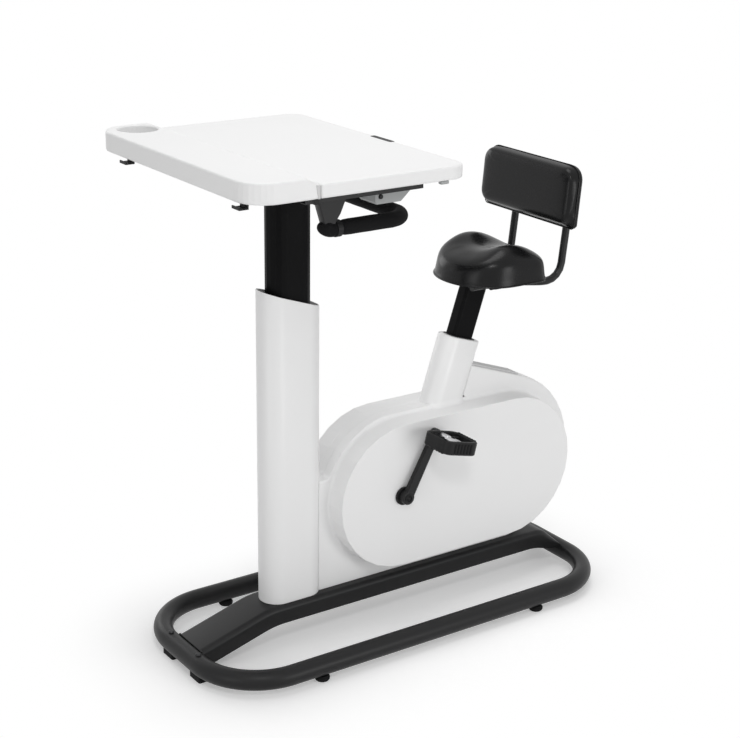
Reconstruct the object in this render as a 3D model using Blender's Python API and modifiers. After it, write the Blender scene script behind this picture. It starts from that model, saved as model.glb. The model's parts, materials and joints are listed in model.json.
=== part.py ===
"""Desk exercise bike: a stationary bike with a height-adjustable desk in front of the rider.

Frame: metres, +Z up, origin on the floor under the centre of the base loop,
+X from the column toward the rider's seat, -Y the near side with the console.
"""
import math

import bmesh
import bpy
from mathutils import Matrix, Vector

for old in list(bpy.data.objects):
    bpy.data.objects.remove(old, do_unlink=True)

# Clearances
GAP = 0.0003
RUN = 0.0008
OVER = 0.002

# Base loop and feet
TUBE_R = 0.02375
LOOP_HALF_X = 0.559
LOOP_HALF_Y = 0.226
LOOP_BEND = 0.157
FOOT_H = 0.013
FOOT_R = 0.0165
FOOT_X = 0.321
STUD_R = 0.004
STUD_UP = 0.020
PAD_Y = 0.066
PAD_HALF_Y = 0.024
PAD_HALF_X = 0.012
PAD_BOLT_R = 0.004
PAD_BOLT_HEAD_R = 0.0075
PAD_BOLT_LOW = 0.006

# Spine beam
SPINE_TOP = 0.1135
SPINE_DEPTH = 0.0445
SPINE_HALF_Y = 0.056
SPINE_EDGE_R = 0.00455
SPINE_WALL = 0.004
FRONT_KNEE_X = -0.357
REAR_KNEE_X = 0.485
RAMP_END_IN = 0.015
RAMP_TOE = 0.030
RAMP_TOE_FRONT = 0.028
TOE_Z = 0.0515
KNEE_SHIFT = 0.012
RAMP_END_Z = 0.0595

# Column: white shroud, fixed post, moving sleeve
COLUMN_X = -0.2727
SHROUD_LEN = 0.1554
SHROUD_W = 0.088
SHROUD_WALL = 0.0025
SHROUD_LIP_Z = 0.889
SHROUD_SLOPE = -0.35
SLEEVE_LEN = 0.1104
SLEEVE_W = 0.068
SLEEVE_WALL = 0.0025
SLEEVE_BOTTOM = 0.389
POST_WALL = 0.003
POST_TOP = 0.874
GLIDE_T = 0.0018
GLIDE_H = 0.060
SPRING_R = 0.014
SPRING_TOP = 0.859
SPRING_BORE = 0.380
ROD_IN = 0.060
ROD_R = 0.005

# Desk
DESK_Z = 1.176
DESK_HALF_Y = 0.347
TRAY_FRONT_X = -0.569
TRAY_STEP_X = -0.440
TRAY_BACK_X = -0.408
TRAY_T = 0.045
TOP_T = 0.030
TOP_FRONT_X = -0.4055
TOP_REAR_X = -0.030
TRAY_CORNER = 0.065
TOP_CORNER = 0.040
DESK_EDGE_R = 0.004
CUP_X = -0.492
CUP_IN = 0.058
CUP_R = 0.046
CUP_DEPTH = 0.036
SLOT_Y = -0.029
SLOT_LEN = 0.080
SLOT_H = 0.014
SLOT_DEPTH = 0.012

# Under the desk
RAIL_IN = 0.047
RAIL_W = 0.020
RAIL_H = 0.018
RAIL_WALL = 0.002
RAIL_FRONT_X = -0.420
RAIL_REAR_X = -0.125
RUNNER_LEN = 0.250
RUNNER_BACK = 0.008
RUNNER_STEM = 0.007
RUNNER_FOOT_T = 0.004
BEAM_FRONT_X = -0.368
BEAM_REAR_X = -0.295
BEAM_DEPTH = 0.0215
BEAM_WALL = 0.004
HUB_HALF_Y = 0.050
ARM_Y = 0.180
ARM_W = 0.040
ARM_FRONT_X = -0.522
BAR_IN = 0.035
BAR_DROP = 0.090
BAR_X = -0.125
BAR_BEND = 0.055
BAR_CORE_R = 0.011
FOAM_R = 0.017
COLLAR_X = -0.315
COLLAR_W = 0.012
COLLAR_R = 0.0185
SOCKET_R = 0.0155
SOCKET_X = -0.327
BRACKET_T = 0.030
CONSOLE_FRONT_X = -0.235
CONSOLE_LEN = 0.110
CONSOLE_W = 0.065
CONSOLE_H = 0.046
BUTTON_IN = 0.014
BUTTON_DROP = 0.029
BUTTON_R = 0.005
HOOK_T = 0.003
HOOK_DROP = 0.012
HOOK_REACH = 0.022
HOOK_LIP = 0.006
HOOK_BACK_X = -0.550
HOOK_W = 0.030
HOOK_NEAR_Y = -0.290
HOOK_FAR_Y = 0.208
CATCH_SIZE = (0.012, 0.012, 0.0105)
BUMPER_SIZE = (0.020, 0.010, 0.007)
BUMPER_X = -0.094
LIFT_LEVER_X = -0.315
LIFT_LEVER_IN = 0.050
LIFT_LEVER_LEN = 0.130
LIFT_PIN_R = 0.003
LIFT_EAR_Y = 0.010
LIFT_EAR_T = 0.004

# Housing
CRANK_X = 0.002
CRANK_Z = 0.337
COVER_X0 = 0.0096
COVER_X1 = 0.3419
COVER_Z = 0.3348
COVER_R = 0.1855
COVER_Y = 0.085
SHELL_Y = 0.028
SHELL_WALL = 0.003
SHELL_FRONT_R = 0.1955
SHELL_REAR_R = 0.2265
NECK_TOP_Z = 0.399
FIN_SLOPE = -0.354
FILLET = 0.009
COVER_EDGE = 0.001
RIM_R = 0.004
NECK_FILLET = 0.020
STRIP_T = 0.004
STRIP_W = 0.044
STRIP_BACK = 0.018

# Drive inside the housing
AXLE_R = 0.010
AXLE_HALF = 0.109
AXLE_END_R = 0.0075
AXLE_SHOULDER = 0.088
FRAME_T = 0.008
HUB_R = 0.024
HUB_HALF = 0.034
BEARING_R = 0.0185
PULLEY_R = 0.105
PULLEY_Y = 0.0525
PULLEY_W = 0.014
PULLEY_LIP = 0.002
BELT_T = 0.0022
BELT_W = 0.012
WHEEL_R = 0.115
WHEEL_Y = -0.033
WHEEL_T = 0.030
SHAFT_R = 0.006
SMALL_PULLEY_R = 0.018
WHEEL_HUB_R = 0.018
WHEEL_HUB_HALF = 0.014
BRAKE_IN = 0.003
BRAKE_BAND = 0.012
BRAKE_PIN_R = 0.005

# Seat tube, post and saddle
SEAT_LEAN = math.atan(0.325)
SEAT_REF_X = 0.223
SEAT_REF_Z = 0.6816
FAIRING_UP = 0.110
FAIRING_LEN = 0.1135
FAIRING_W = 0.070
FAIRING_WALL = 0.003
FAIRING_FLARE = 0.006
POST_LEN = 0.062
POST_W = 0.038
POST_CORNER = 0.008
POST_IN = 0.235
POST_WALL_SEAT = 0.0025
BUSH_T = 0.0025
BUSH_LEN = 0.050
BUSH_LIP = 0.004
BUSH_LIP_T = 0.002
GUIDE_WALL = 0.002
GUIDE_LEN = 0.345
CLAMP_T = 0.014
CLAMP_LEN = 0.085
SADDLE_RISE = 0.1474
SADDLE_FRONT_X = 0.176
SADDLE_REAR_X = 0.420
SADDLE_HALF_Y = 0.127
SADDLE_FRONT_R = 0.124
SADDLE_REAR_R = 0.055
SADDLE_H = 0.058
SADDLE_CROWN = 0.010
HUMP_H = 0.024
HUMP_X = 0.305
HUMP_Y = 0.078
PAN_T = 0.0054
PAN_SHARE = 0.87
BACK_TUBE_R = 0.0095
BACK_TUBE_Y = 0.098
BACK_TUCK_Y = 0.048
BACK_TUCK_X = 0.315
BACK_SPREAD_X = 0.400
BACK_JOIN = 0.045
STRAP_X = 0.324
STRAP_W = 0.024
BACK_TUBE_DROP = 0.010
BACK_CORNER_X = 0.455
BACK_BEND = 0.045
BACK_LEAN = 0.114
BACK_TUBE_RISE = 0.220
BACK_PAD_RISE = 0.142
BACK_PAD_H = 0.142
BACK_FACE_X = 0.408
BACK_FACE_LEAN = 0.0906
BACK_HALF_Y = 0.170
BACK_CORNER = 0.036
BACK_T = 0.040
BOARD_T = 0.012
BOARD_DROP = 0.007
LEVER_LEN = 0.055
LEVER_PIN_R = 0.003
LEVER_Y = -0.034
LEVER_EAR_T = 0.006
LEVER_HUB_R = 0.006
LEVER_DROP = 0.010

# Cranks and pedals
CRANK_LEN = 0.170
CRANK_TURN = 61.75
CRANK_OUT = 0.110
CRANK_T = 0.017
CRANK_BOSS_R = 0.0165
CRANK_EYE_R = 0.0130
SPINDLE_R = 0.006
SPINDLE_OUT = 0.205
PEDAL_IN = 0.1155
PEDAL_W = 0.098
PEDAL_LEN = 0.100
PEDAL_T = 0.026
PEDAL_RIM = 0.010
PEDAL_BARREL_R = 0.012
PEDAL_PITCH = math.radians(14)

# Places that follow from the sizes above
RAIL_Y = DESK_HALF_Y - RAIL_IN
BAR_Y = RAIL_Y - BAR_IN
BAR_Z = DESK_Z - BAR_DROP
CUP_Y = DESK_HALF_Y - CUP_IN
LIFT_LEVER_Y = BAR_Y - LIFT_LEVER_IN
CONSOLE_LOW_Z = DESK_Z - CONSOLE_H
BUTTON_X = CONSOLE_FRONT_X + BUTTON_IN
BUTTON_Z = DESK_Z - BUTTON_DROP
SADDLE_LOW = SEAT_REF_Z + SADDLE_RISE
BACK_TUBE_Z = SADDLE_LOW - BACK_TUBE_DROP
BACK_TUBE_TOP = SADDLE_LOW + BACK_TUBE_RISE
BACK_PAD_LOW = SADDLE_LOW + BACK_PAD_RISE
BACK_PAD_HIGH = BACK_PAD_LOW + BACK_PAD_H

PARTS = bpy.data.collections.new("desk_exercise_bike")
CUTS = bpy.data.collections.new("cutters")
bpy.context.scene.collection.children.link(PARTS)
bpy.context.scene.collection.children.link(CUTS)

# Planes in which flat outlines are drawn
FLAT = Matrix.Identity(4)
SIDE = Matrix(((1, 0, 0, 0), (0, 0, -1, 0), (0, 1, 0, 0), (0, 0, 0, 1)))
END = Matrix(((0, 0, 1, 0), (1, 0, 0, 0), (0, 1, 0, 0), (0, 0, 0, 1)))


def paint(name, rgb, rough, metal=0.0):
    made = bpy.data.materials.new(name)
    made.use_nodes = True
    node = made.node_tree.nodes["Principled BSDF"]
    node.inputs["Base Color"].default_value = (*rgb, 1.0)
    node.inputs["Roughness"].default_value = rough
    node.inputs["Metallic"].default_value = metal
    return made


def place(obj, material, matrix):
    """Put an object in the parts, or in the cutters where it has no material."""
    obj.matrix_world = matrix
    if material is None:
        CUTS.objects.link(obj)
        obj.hide_render = True
        obj.display_type = "WIRE"
    else:
        PARTS.objects.link(obj)
        obj.data.materials.append(material)
    return obj


def curve_mesh(name, curve, material, matrix):
    """Turn a curve into a welded mesh object that takes Boolean modifiers."""
    source = bpy.data.objects.new(name + "_curve", curve)
    bpy.context.scene.collection.objects.link(source)
    source.matrix_world = matrix
    bpy.context.view_layer.update()
    graph = bpy.context.evaluated_depsgraph_get()
    mesh = bpy.data.meshes.new_from_object(source.evaluated_get(graph))
    bm = bmesh.new()
    bm.from_mesh(mesh)
    bmesh.ops.remove_doubles(bm, verts=bm.verts, dist=0.00001)
    bmesh.ops.dissolve_limit(bm, angle_limit=0.002, verts=bm.verts, edges=bm.edges)
    bmesh.ops.recalc_face_normals(bm, faces=bm.faces)
    bm.to_mesh(mesh)
    bm.free()
    mesh.materials.clear()
    mesh.name = name
    made = bpy.data.objects.new(name, mesh)
    bpy.data.objects.remove(source, do_unlink=True)
    return place(made, material, matrix)


def plate(name, outlines, thick, material, plane=FLAT, at=(0, 0, 0)):
    """A flat outline, with any holes, extruded by thick about the point at."""
    curve = bpy.data.curves.new(name, "CURVE")
    curve.dimensions = "2D"
    curve.fill_mode = "BOTH"
    curve.extrude = thick / 2
    for outline in outlines:
        line = curve.splines.new("POLY")
        line.points.add(len(outline) - 1)
        for point, (u, v) in zip(line.points, outline):
            point.co = (u, v, 0, 1)
        line.use_cyclic_u = True
    return curve_mesh(name, curve, material, Matrix.Translation(at) @ plane)


def tube(name, points, radius, material, sides=12, closed=False):
    """A round bar along a path in world coordinates."""
    curve = bpy.data.curves.new(name, "CURVE")
    curve.dimensions = "3D"
    curve.bevel_depth = radius
    curve.bevel_resolution = (sides - 4) // 2
    curve.use_fill_caps = not closed
    line = curve.splines.new("POLY")
    line.points.add(len(points) - 1)
    for point, place_at in zip(line.points, points):
        point.co = (*place_at, 1)
    line.use_cyclic_u = closed
    made = curve_mesh(name, curve, material, FLAT)
    made.data.shade_smooth()
    made.data.set_sharp_from_angle(angle=math.radians(40))
    return made


def turned(name, profile, material, at, axis=(0, 0, 1), steps=32, ring=False):
    """A profile of (radius, height), top to bottom, turned about an axis at a point."""
    mesh = bpy.data.meshes.new(name)
    count = len(profile)
    edges = [(i, i + 1) for i in range(count - 1)]
    if ring:
        edges.append((count - 1, 0))
    mesh.from_pydata([(r, 0, h) for r, h in profile], edges, [])
    made = bpy.data.objects.new(name, mesh)
    screw = made.modifiers.new("turn", "SCREW")
    screw.steps = steps
    screw.render_steps = steps
    screw.use_merge_vertices = True
    screw.merge_threshold = 0.00001
    screw.use_smooth_shade = True
    turn = Vector(axis).to_track_quat("Z", "Y").to_matrix().to_4x4()
    return place(made, material, Matrix.Translation(at) @ turn)


def disc(name, radius, low, high, material, at, axis=(0, 0, 1), steps=32):
    """A cylinder primitive from low to high along an axis through a point."""
    bm = bmesh.new()
    shift = Matrix.Translation((0, 0, (low + high) / 2))
    bmesh.ops.create_cone(bm, cap_ends=True, segments=steps, radius1=radius, radius2=radius,
                          depth=high - low, matrix=shift)
    mesh = bpy.data.meshes.new(name)
    bm.to_mesh(mesh)
    bm.free()
    mesh.shade_smooth()
    mesh.set_sharp_from_angle(angle=math.radians(40))
    turn = Vector(axis).to_track_quat("Z", "Y").to_matrix().to_4x4()
    return place(bpy.data.objects.new(name, mesh), material, Matrix.Translation(at) @ turn)


def ring(name, outer, inner, low, high, material, at, axis=(0, 0, 1), steps=32):
    profile = [(outer, high), (outer, low), (inner, low), (inner, high)]
    return turned(name, profile, material, at, axis, steps, ring=True)


def box(name, size, centre, material, plane=FLAT):
    """A cube primitive of a real size, its scale held in the mesh."""
    bm = bmesh.new()
    bmesh.ops.create_cube(bm, size=1.0)
    bmesh.ops.scale(bm, vec=size, verts=bm.verts)
    mesh = bpy.data.meshes.new(name)
    bm.to_mesh(mesh)
    bm.free()
    return place(bpy.data.objects.new(name, mesh), material, Matrix.Translation(centre) @ plane)


def loft(name, rings, material, matrix=FLAT):
    """A closed body through rings of equal count, capped at both ends."""
    bm = bmesh.new()
    loops = []
    for points in rings:
        verts = [bm.verts.new(p) for p in points]
        loops.append([bm.edges.new((verts[i - 1], verts[i])) for i in range(len(verts))])
    for low, high in zip(loops, loops[1:]):
        bmesh.ops.bridge_loops(bm, edges=low + high)
    for end in (loops[0], loops[-1]):
        bmesh.ops.edgeloop_fill(bm, edges=end)
    bmesh.ops.recalc_face_normals(bm, faces=bm.faces)
    mesh = bpy.data.meshes.new(name)
    bm.to_mesh(mesh)
    bm.free()
    mesh.shade_smooth()
    mesh.set_sharp_from_angle(angle=math.radians(35))
    return place(bpy.data.objects.new(name, mesh), material, matrix)


def boolean(obj, kind, others):
    for other in others:
        step = obj.modifiers.new(kind.lower(), "BOOLEAN")
        step.operation = kind
        step.object = other
    return obj


def cut(obj, *others):
    return boolean(obj, "DIFFERENCE", others)


def fuse(obj, *others):
    return boolean(obj, "UNION", others)


def soften(obj, width, segments=2, angle=40, pick=None):
    """Round the edges sharper than an angle, or only those that pick accepts."""
    step = obj.modifiers.new("round", "BEVEL")
    step.width = width
    step.segments = segments
    step.limit_method = "ANGLE"
    step.angle_limit = math.radians(angle)
    if pick is None:
        return obj
    step.limit_method = "WEIGHT"
    layer = obj.data.attributes.new("bevel_weight_edge", "FLOAT", "EDGE")
    for edge in obj.data.edges:
        ends = [obj.matrix_world @ obj.data.vertices[i].co for i in edge.vertices]
        layer.data[edge.index].value = 1.0 if pick(*ends) else 0.0
    return obj


def arc(cx, cy, radius, start, end, count):
    """Points of an arc, angles in degrees."""
    turn = [math.radians(start + (end - start) * i / count) for i in range(count + 1)]
    return [(cx + radius * math.cos(a), cy + radius * math.sin(a)) for a in turn]


def hull(x0, y0, r0, x1, y1, r1, count=10):
    """The outline of a belt or web drawn tight round two circles."""
    lean = math.degrees(math.atan2(y1 - y0, x1 - x0))
    wrap = math.degrees(math.acos((r0 - r1) / math.hypot(x1 - x0, y1 - y0)))
    points = arc(x0, y0, r0, lean + wrap, lean + 360 - wrap, 2 * count)
    return points + arc(x1, y1, r1, lean - wrap, lean + wrap, count)


def stadium(x0, x1, radius, count=12, y=0.0):
    """An outline with round ends about x0 and x1."""
    return arc(x1, y, radius, -90, 90, count) + arc(x0, y, radius, 90, 270, count)


def obround(length, width, inset=0.0, count=12, x=0.0):
    half = (length - width) / 2
    return stadium(x - half, x + half, width / 2 - inset, count)


def round_rect(hx, hy, radius, count=4, x=0.0, y=0.0):
    points = []
    for sx, sy, start in ((1, 1, 0), (-1, 1, 90), (-1, -1, 180), (1, -1, 270)):
        centre = (x + sx * (hx - radius), y + sy * (hy - radius))
        points += arc(*centre, radius, start, start + 90, count)
    return points


def bent(points, radius, count=6):
    """A path through corner points, each turned on a bend of a radius."""
    points = [Vector(p) for p in points]
    path = [points[0]]
    for before, here, after in zip(points, points[1:], points[2:]):
        back = (before - here).normalized()
        ahead = (after - here).normalized()
        half = back.angle(ahead) / 2
        centre = here + (back + ahead).normalized() * radius / math.sin(half)
        first = here + back * radius / math.tan(half) - centre
        last = here + ahead * radius / math.tan(half) - centre
        sweep = first.angle(last)
        for i in range(count + 1):
            share = sweep * i / count
            mix = first * math.sin(sweep - share) + last * math.sin(share)
            path.append(centre + mix / math.sin(sweep))
    path.append(points[-1])
    return path


def body(name, at, *objects):
    """Hang pieces that move together from an empty on their joint's axis."""
    hub = bpy.data.objects.new(name, None)
    hub.empty_display_size = 0.05
    hub.location = at
    PARTS.objects.link(hub)
    for obj in objects:
        obj.parent = hub
        obj.matrix_parent_inverse = Matrix.Translation(at).inverted()
    return hub


WHITE = paint("white_paint", (0.86, 0.86, 0.85), 0.38)
DESK_WHITE = paint("desk_white", (0.80, 0.80, 0.80), 0.45)
BLACK_PAINT = paint("black_paint", (0.035, 0.036, 0.038), 0.42)
BLACK = paint("black_plastic", (0.020, 0.020, 0.021), 0.50)
RUBBER = paint("black_rubber", (0.015, 0.015, 0.016), 0.80)
FOAM = paint("black_foam", (0.018, 0.018, 0.019), 0.88)
VINYL = paint("black_vinyl", (0.022, 0.022, 0.023), 0.32)
GREY = paint("grey_plastic", (0.37, 0.38, 0.38), 0.48)
STEEL = paint("bright_steel", (0.60, 0.60, 0.61), 0.30, 1.0)
IRON = paint("cast_iron", (0.10, 0.10, 0.11), 0.55, 0.6)

# Base loop: one bent tube, closed under the spine
TUBE_Z = FOOT_H + TUBE_R
bend_x = LOOP_HALF_X - LOOP_BEND
bend_y = LOOP_HALF_Y - LOOP_BEND
loop_path = []
for cx, cy, start in ((bend_x, bend_y, 0), (-bend_x, bend_y, 90),
                      (-bend_x, -bend_y, 180), (bend_x, -bend_y, 270)):
    loop_path += arc(cx, cy, LOOP_BEND, start, start + 90, 7)
loop_path = [(x, y, TUBE_Z) for x, y in loop_path]
base_loop = tube("base_loop", loop_path, TUBE_R, BLACK_PAINT, sides=16, closed=True)
loop_room = tube("loop_room", loop_path, TUBE_R + GAP, None, sides=16, closed=True)

# Levelling feet: a rubber cup on a threaded stud that turns in the tube
foot_spots = {"front_near": (-FOOT_X, -LOOP_HALF_Y), "front_far": (-FOOT_X, LOOP_HALF_Y),
              "rear_near": (FOOT_X, -LOOP_HALF_Y), "rear_far": (FOOT_X, LOOP_HALF_Y)}
for spot, (x, y) in foot_spots.items():
    neck = FOOT_H - RUN
    foot = turned("levelling_foot_" + spot,
                  [(0, FOOT_H + STUD_UP), (STUD_R, FOOT_H + STUD_UP), (STUD_R, neck),
                   (FOOT_R - 0.003, neck), (FOOT_R, neck - 0.003), (FOOT_R, 0.0015),
                   (FOOT_R - 0.0015, 0), (0, 0)],
                  RUBBER, (x, y, 0), steps=16)
    bore = disc("bore_" + spot, STUD_R + GAP, TUBE_Z - TUBE_R - OVER,
                FOOT_H + STUD_UP + OVER, None, (x, y, 0), steps=16)
    cut(base_loop, bore)
    body("foot_screw_" + spot, (x, y, FOOT_H), foot)

# Front feet: fixed rubber pads, each held by a bolt through the front tube
for side, sign in (("near", -1), ("far", 1)):
    y = sign * PAD_Y
    pad = box("front_foot_" + side, (2 * PAD_HALF_X, 2 * PAD_HALF_Y, TUBE_Z),
              (-LOOP_HALF_X, y, TUBE_Z / 2), RUBBER)
    soften(pad, 0.004, pick=lambda a, b: abs(a.z - b.z) > 0.01)
    shank_cut = disc("pad_bolt_bore_" + side, PAD_BOLT_R + GAP, PAD_BOLT_LOW - GAP, 0.2, None,
                     (-LOOP_HALF_X, y, 0), steps=12)
    cut(pad, loop_room, shank_cut)
    cut(base_loop, shank_cut)
tube_top = TUBE_Z + TUBE_R
head_low = tube_top + GAP
for side, sign in (("near", -1), ("far", 1)):
    profile = [(0, head_low + 0.004), (PAD_BOLT_HEAD_R - 0.002, head_low + 0.004),
               (PAD_BOLT_HEAD_R, head_low + 0.0015), (PAD_BOLT_HEAD_R, head_low),
               (PAD_BOLT_R, head_low), (PAD_BOLT_R, PAD_BOLT_LOW),
               (0, PAD_BOLT_LOW)]
    turned("front_foot_bolt_" + side, profile, STEEL, (-LOOP_HALF_X, sign * PAD_Y, 0), steps=12)

# Spine: a folded channel, open below, welded over the front and rear tubes
ramp_x = LOOP_HALF_X - RAMP_END_IN
spine_low = SPINE_TOP - SPINE_DEPTH
front_toe = TUBE_Z - 0.016
spine_side = [(-ramp_x, RAMP_END_Z), (-ramp_x - 0.004, front_toe),
              (-ramp_x + RAMP_TOE_FRONT, front_toe), (FRONT_KNEE_X + KNEE_SHIFT, spine_low),
              (REAR_KNEE_X - RAMP_TOE, spine_low), (ramp_x - RAMP_TOE, TOE_Z),
              (ramp_x + 0.002, TOE_Z), (ramp_x, RAMP_END_Z),
              (REAR_KNEE_X, SPINE_TOP), (FRONT_KNEE_X, SPINE_TOP)]
spine = plate("spine_beam", [spine_side], 2 * SPINE_HALF_Y, BLACK_PAINT, SIDE)


def on_spine_top(a, b):
    along = abs(a.y - b.y) < 0.001 and abs(a.x - b.x) > 0.02
    outer = abs(a.x) <= ramp_x + 0.001 and min(a.z, b.z) > RAMP_END_Z - 0.001
    return along and outer


soften(spine, SPINE_EDGE_R, segments=4, pick=on_spine_top)
inner_side = [(-ramp_x + 0.006, 0.0), (-ramp_x + 0.006, RAMP_END_Z - 2 * SPINE_WALL),
              (FRONT_KNEE_X, SPINE_TOP - SPINE_WALL), (REAR_KNEE_X, SPINE_TOP - SPINE_WALL),
              (ramp_x - 0.006, RAMP_END_Z - 2 * SPINE_WALL), (ramp_x - 0.006, 0.0)]
spine_room = plate("spine_room", [inner_side], 2 * (SPINE_HALF_Y - SPINE_WALL), None, SIDE)
cut(spine, spine_room, loop_room)

# Column: a thin white shroud with a slanted top
shroud_front = COLUMN_X - SHROUD_LEN / 2
shroud_back = COLUMN_X + SHROUD_LEN / 2
shroud_base = SPINE_TOP + GAP


def slant_top(obj):
    middle = (SHROUD_LIP_Z + shroud_base) / 2
    for vert in obj.data.vertices:
        spot = obj.matrix_world @ vert.co
        if spot.z > middle:
            spot.z = SHROUD_LIP_Z + SHROUD_SLOPE * (spot.x - shroud_front)
            vert.co = obj.matrix_world.inverted() @ spot
    return obj


shroud_h = SHROUD_LIP_Z - shroud_base
shroud = plate("column_shroud", [obround(SHROUD_LEN, SHROUD_W, count=14, x=COLUMN_X)],
               shroud_h, WHITE, FLAT, (0, 0, shroud_base + shroud_h / 2))
slant_top(shroud)
shroud_bore = plate("shroud_bore", [obround(SHROUD_LEN - 2 * SHROUD_WALL,
                    SHROUD_W - 2 * SHROUD_WALL, count=14, x=COLUMN_X)],
                    shroud_h + 0.2, None, FLAT, (0, 0, shroud_base + shroud_h / 2))
cut(shroud, shroud_bore)

# Fixed post inside the sleeve, welded to the spine, with a glide pad round its top
inner_len = SLEEVE_LEN - 2 * SLEEVE_WALL
inner_w = SLEEVE_W - 2 * SLEEVE_WALL
post_len = inner_len - 2 * GLIDE_T - 4 * GAP
post_w = inner_w - 2 * GLIDE_T - 4 * GAP


def column_bar(name, length, width, low, high, material):
    """A round-ended upright bar on the column's axis."""
    return plate(name, [obround(length, width, count=8, x=COLUMN_X)], high - low, material,
                 FLAT, (0, 0, (low + high) / 2))


post_low = SPINE_TOP + GAP
guide_post = column_bar("guide_post", post_len, post_w, post_low, POST_TOP, BLACK_PAINT)
fuse(guide_post, column_bar("post_glide", inner_len - 2 * GAP, inner_w - 2 * GAP,
                            POST_TOP - GLIDE_H, POST_TOP - GLIDE_T, None))
cut(guide_post, column_bar("post_bore", post_len - 2 * POST_WALL, post_w - 2 * POST_WALL,
                           post_low - OVER, POST_TOP + OVER, None))

# Gas spring: a cylinder standing in the post, its rod lifting the desk
beam_top = DESK_Z - GAP
plate_low = beam_top - BEAM_WALL
spring_base = post_low
piston_z = SPRING_TOP - ROD_IN
cylinder = turned("spring_cylinder",
                  [(SPRING_R, SPRING_TOP), (SPRING_R, spring_base), (0, spring_base),
                   (0, SPRING_TOP - SPRING_BORE), (SPRING_R - 0.0025, SPRING_TOP - SPRING_BORE),
                   (SPRING_R - 0.0025, SPRING_TOP - 0.012), (ROD_R + GAP, SPRING_TOP - 0.012),
                   (ROD_R + GAP, SPRING_TOP)],
                  BLACK_PAINT, (COLUMN_X, 0, 0), steps=20, ring=True)
spring_rod = turned("spring_rod",
                    [(0, plate_low - GAP), (ROD_R, plate_low - GAP), (ROD_R, piston_z),
                     (SPRING_R - 0.003, piston_z), (SPRING_R - 0.003, piston_z - 0.012),
                     (0, piston_z - 0.012)],
                    STEEL, (COLUMN_X, 0, 0), steps=20)

# Lifting sleeve, with a glide lining in its foot
sleeve_high = plate_low - GAP
lift_sleeve = column_bar("lift_sleeve", SLEEVE_LEN, SLEEVE_W, SLEEVE_BOTTOM, sleeve_high,
                         BLACK_PAINT)
sleeve_bore = column_bar("sleeve_bore", inner_len, inner_w, SLEEVE_BOTTOM + GLIDE_H,
                         sleeve_high + OVER, None)
fuse(sleeve_bore, column_bar("lining_bore", post_len + 2 * GAP, post_w + 2 * GAP,
                             SLEEVE_BOTTOM - OVER, SLEEVE_BOTTOM + GLIDE_H + OVER, None))
cut(lift_sleeve, sleeve_bore)

# Desk beam: plate with two arms for the tray, flanges below, socket on the sleeve
beam_half_y = RAIL_Y - RAIL_W / 2 + RAIL_WALL / 2
hub_rear = COLUMN_X + SLEEVE_LEN / 2 + 0.010
arm_in = ARM_Y - ARM_W / 2
arm_out = ARM_Y + ARM_W / 2
half_plan = [(ARM_FRONT_X, arm_in), (ARM_FRONT_X, arm_out), (BEAM_FRONT_X, arm_out),
             (BEAM_FRONT_X, beam_half_y), (BEAM_REAR_X, beam_half_y),
             (BEAM_REAR_X, HUB_HALF_Y), (hub_rear, HUB_HALF_Y)]
plan = [(BEAM_FRONT_X, arm_in)] + half_plan
plan += [(x, -y) for x, y in reversed(half_plan)] + [(BEAM_FRONT_X, -arm_in)]
desk_beam = plate("desk_beam", [plan], BEAM_WALL, BLACK_PAINT, FLAT,
                  (0, 0, beam_top - BEAM_WALL / 2))
flange_h = BEAM_DEPTH - BEAM_WALL / 2
flange_z = beam_top - BEAM_DEPTH + flange_h / 2
for name, x in (("front", BEAM_FRONT_X + BEAM_WALL / 2), ("rear", BEAM_REAR_X - BEAM_WALL / 2)):
    flange = box("beam_flange_" + name, (BEAM_WALL, 2 * beam_half_y, flange_h),
                 (x, 0, flange_z), None)
    fuse(desk_beam, flange)
socket_z = beam_top - BEAM_DEPTH - 0.004
socket_h = plate_low + BEAM_WALL / 2 - socket_z
collar = plate("sleeve_socket", [obround(SLEEVE_LEN + 2 * BEAM_WALL, SLEEVE_W + 2 * BEAM_WALL,
               x=COLUMN_X)], socket_h, None, FLAT, (0, 0, socket_z + socket_h / 2))
collar_bore = plate("sleeve_socket_bore", [obround(SLEEVE_LEN + 2 * GAP, SLEEVE_W + 2 * GAP,
                    x=COLUMN_X)], 0.1, None, FLAT, (0, 0, plate_low - 0.05))
fuse(desk_beam, collar)
cut(desk_beam, collar_bore)

# Tray: thick front part of the desk, with a step and a cup recess
tray_side = [(TRAY_FRONT_X, DESK_Z), (TRAY_BACK_X, DESK_Z), (TRAY_BACK_X, DESK_Z + TOP_T),
             (TRAY_STEP_X, DESK_Z + TRAY_T), (TRAY_FRONT_X, DESK_Z + TRAY_T)]
desk_tray = plate("desk_tray", [tray_side], 2 * DESK_HALF_Y, DESK_WHITE, SIDE)
tray_plan = arc(TRAY_FRONT_X + TRAY_CORNER, -DESK_HALF_Y + TRAY_CORNER, TRAY_CORNER,
                180, 270, 8)
tray_plan += [(0, -DESK_HALF_Y), (0, DESK_HALF_Y)]
tray_plan += arc(TRAY_FRONT_X + TRAY_CORNER, DESK_HALF_Y - TRAY_CORNER, TRAY_CORNER,
                 90, 180, 8)
tray_outline = plate("tray_outline", [tray_plan], 0.2, None, FLAT, (0, 0, DESK_Z))
boolean(desk_tray, "INTERSECT", [tray_outline])
soften(desk_tray, DESK_EDGE_R, segments=2, angle=50)
cup_top = DESK_Z + TRAY_T
cup = turned("cup_recess", [(0, cup_top + 0.01), (CUP_R + 0.003, cup_top + 0.01),
             (CUP_R + 0.003, cup_top), (CUP_R, cup_top - 0.003),
             (CUP_R - 0.002, cup_top - CUP_DEPTH + 0.003),
             (CUP_R - 0.005, cup_top - CUP_DEPTH), (0, cup_top - CUP_DEPTH)],
             None, (CUP_X, CUP_Y, 0), steps=32)
cut(desk_tray, cup)

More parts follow.
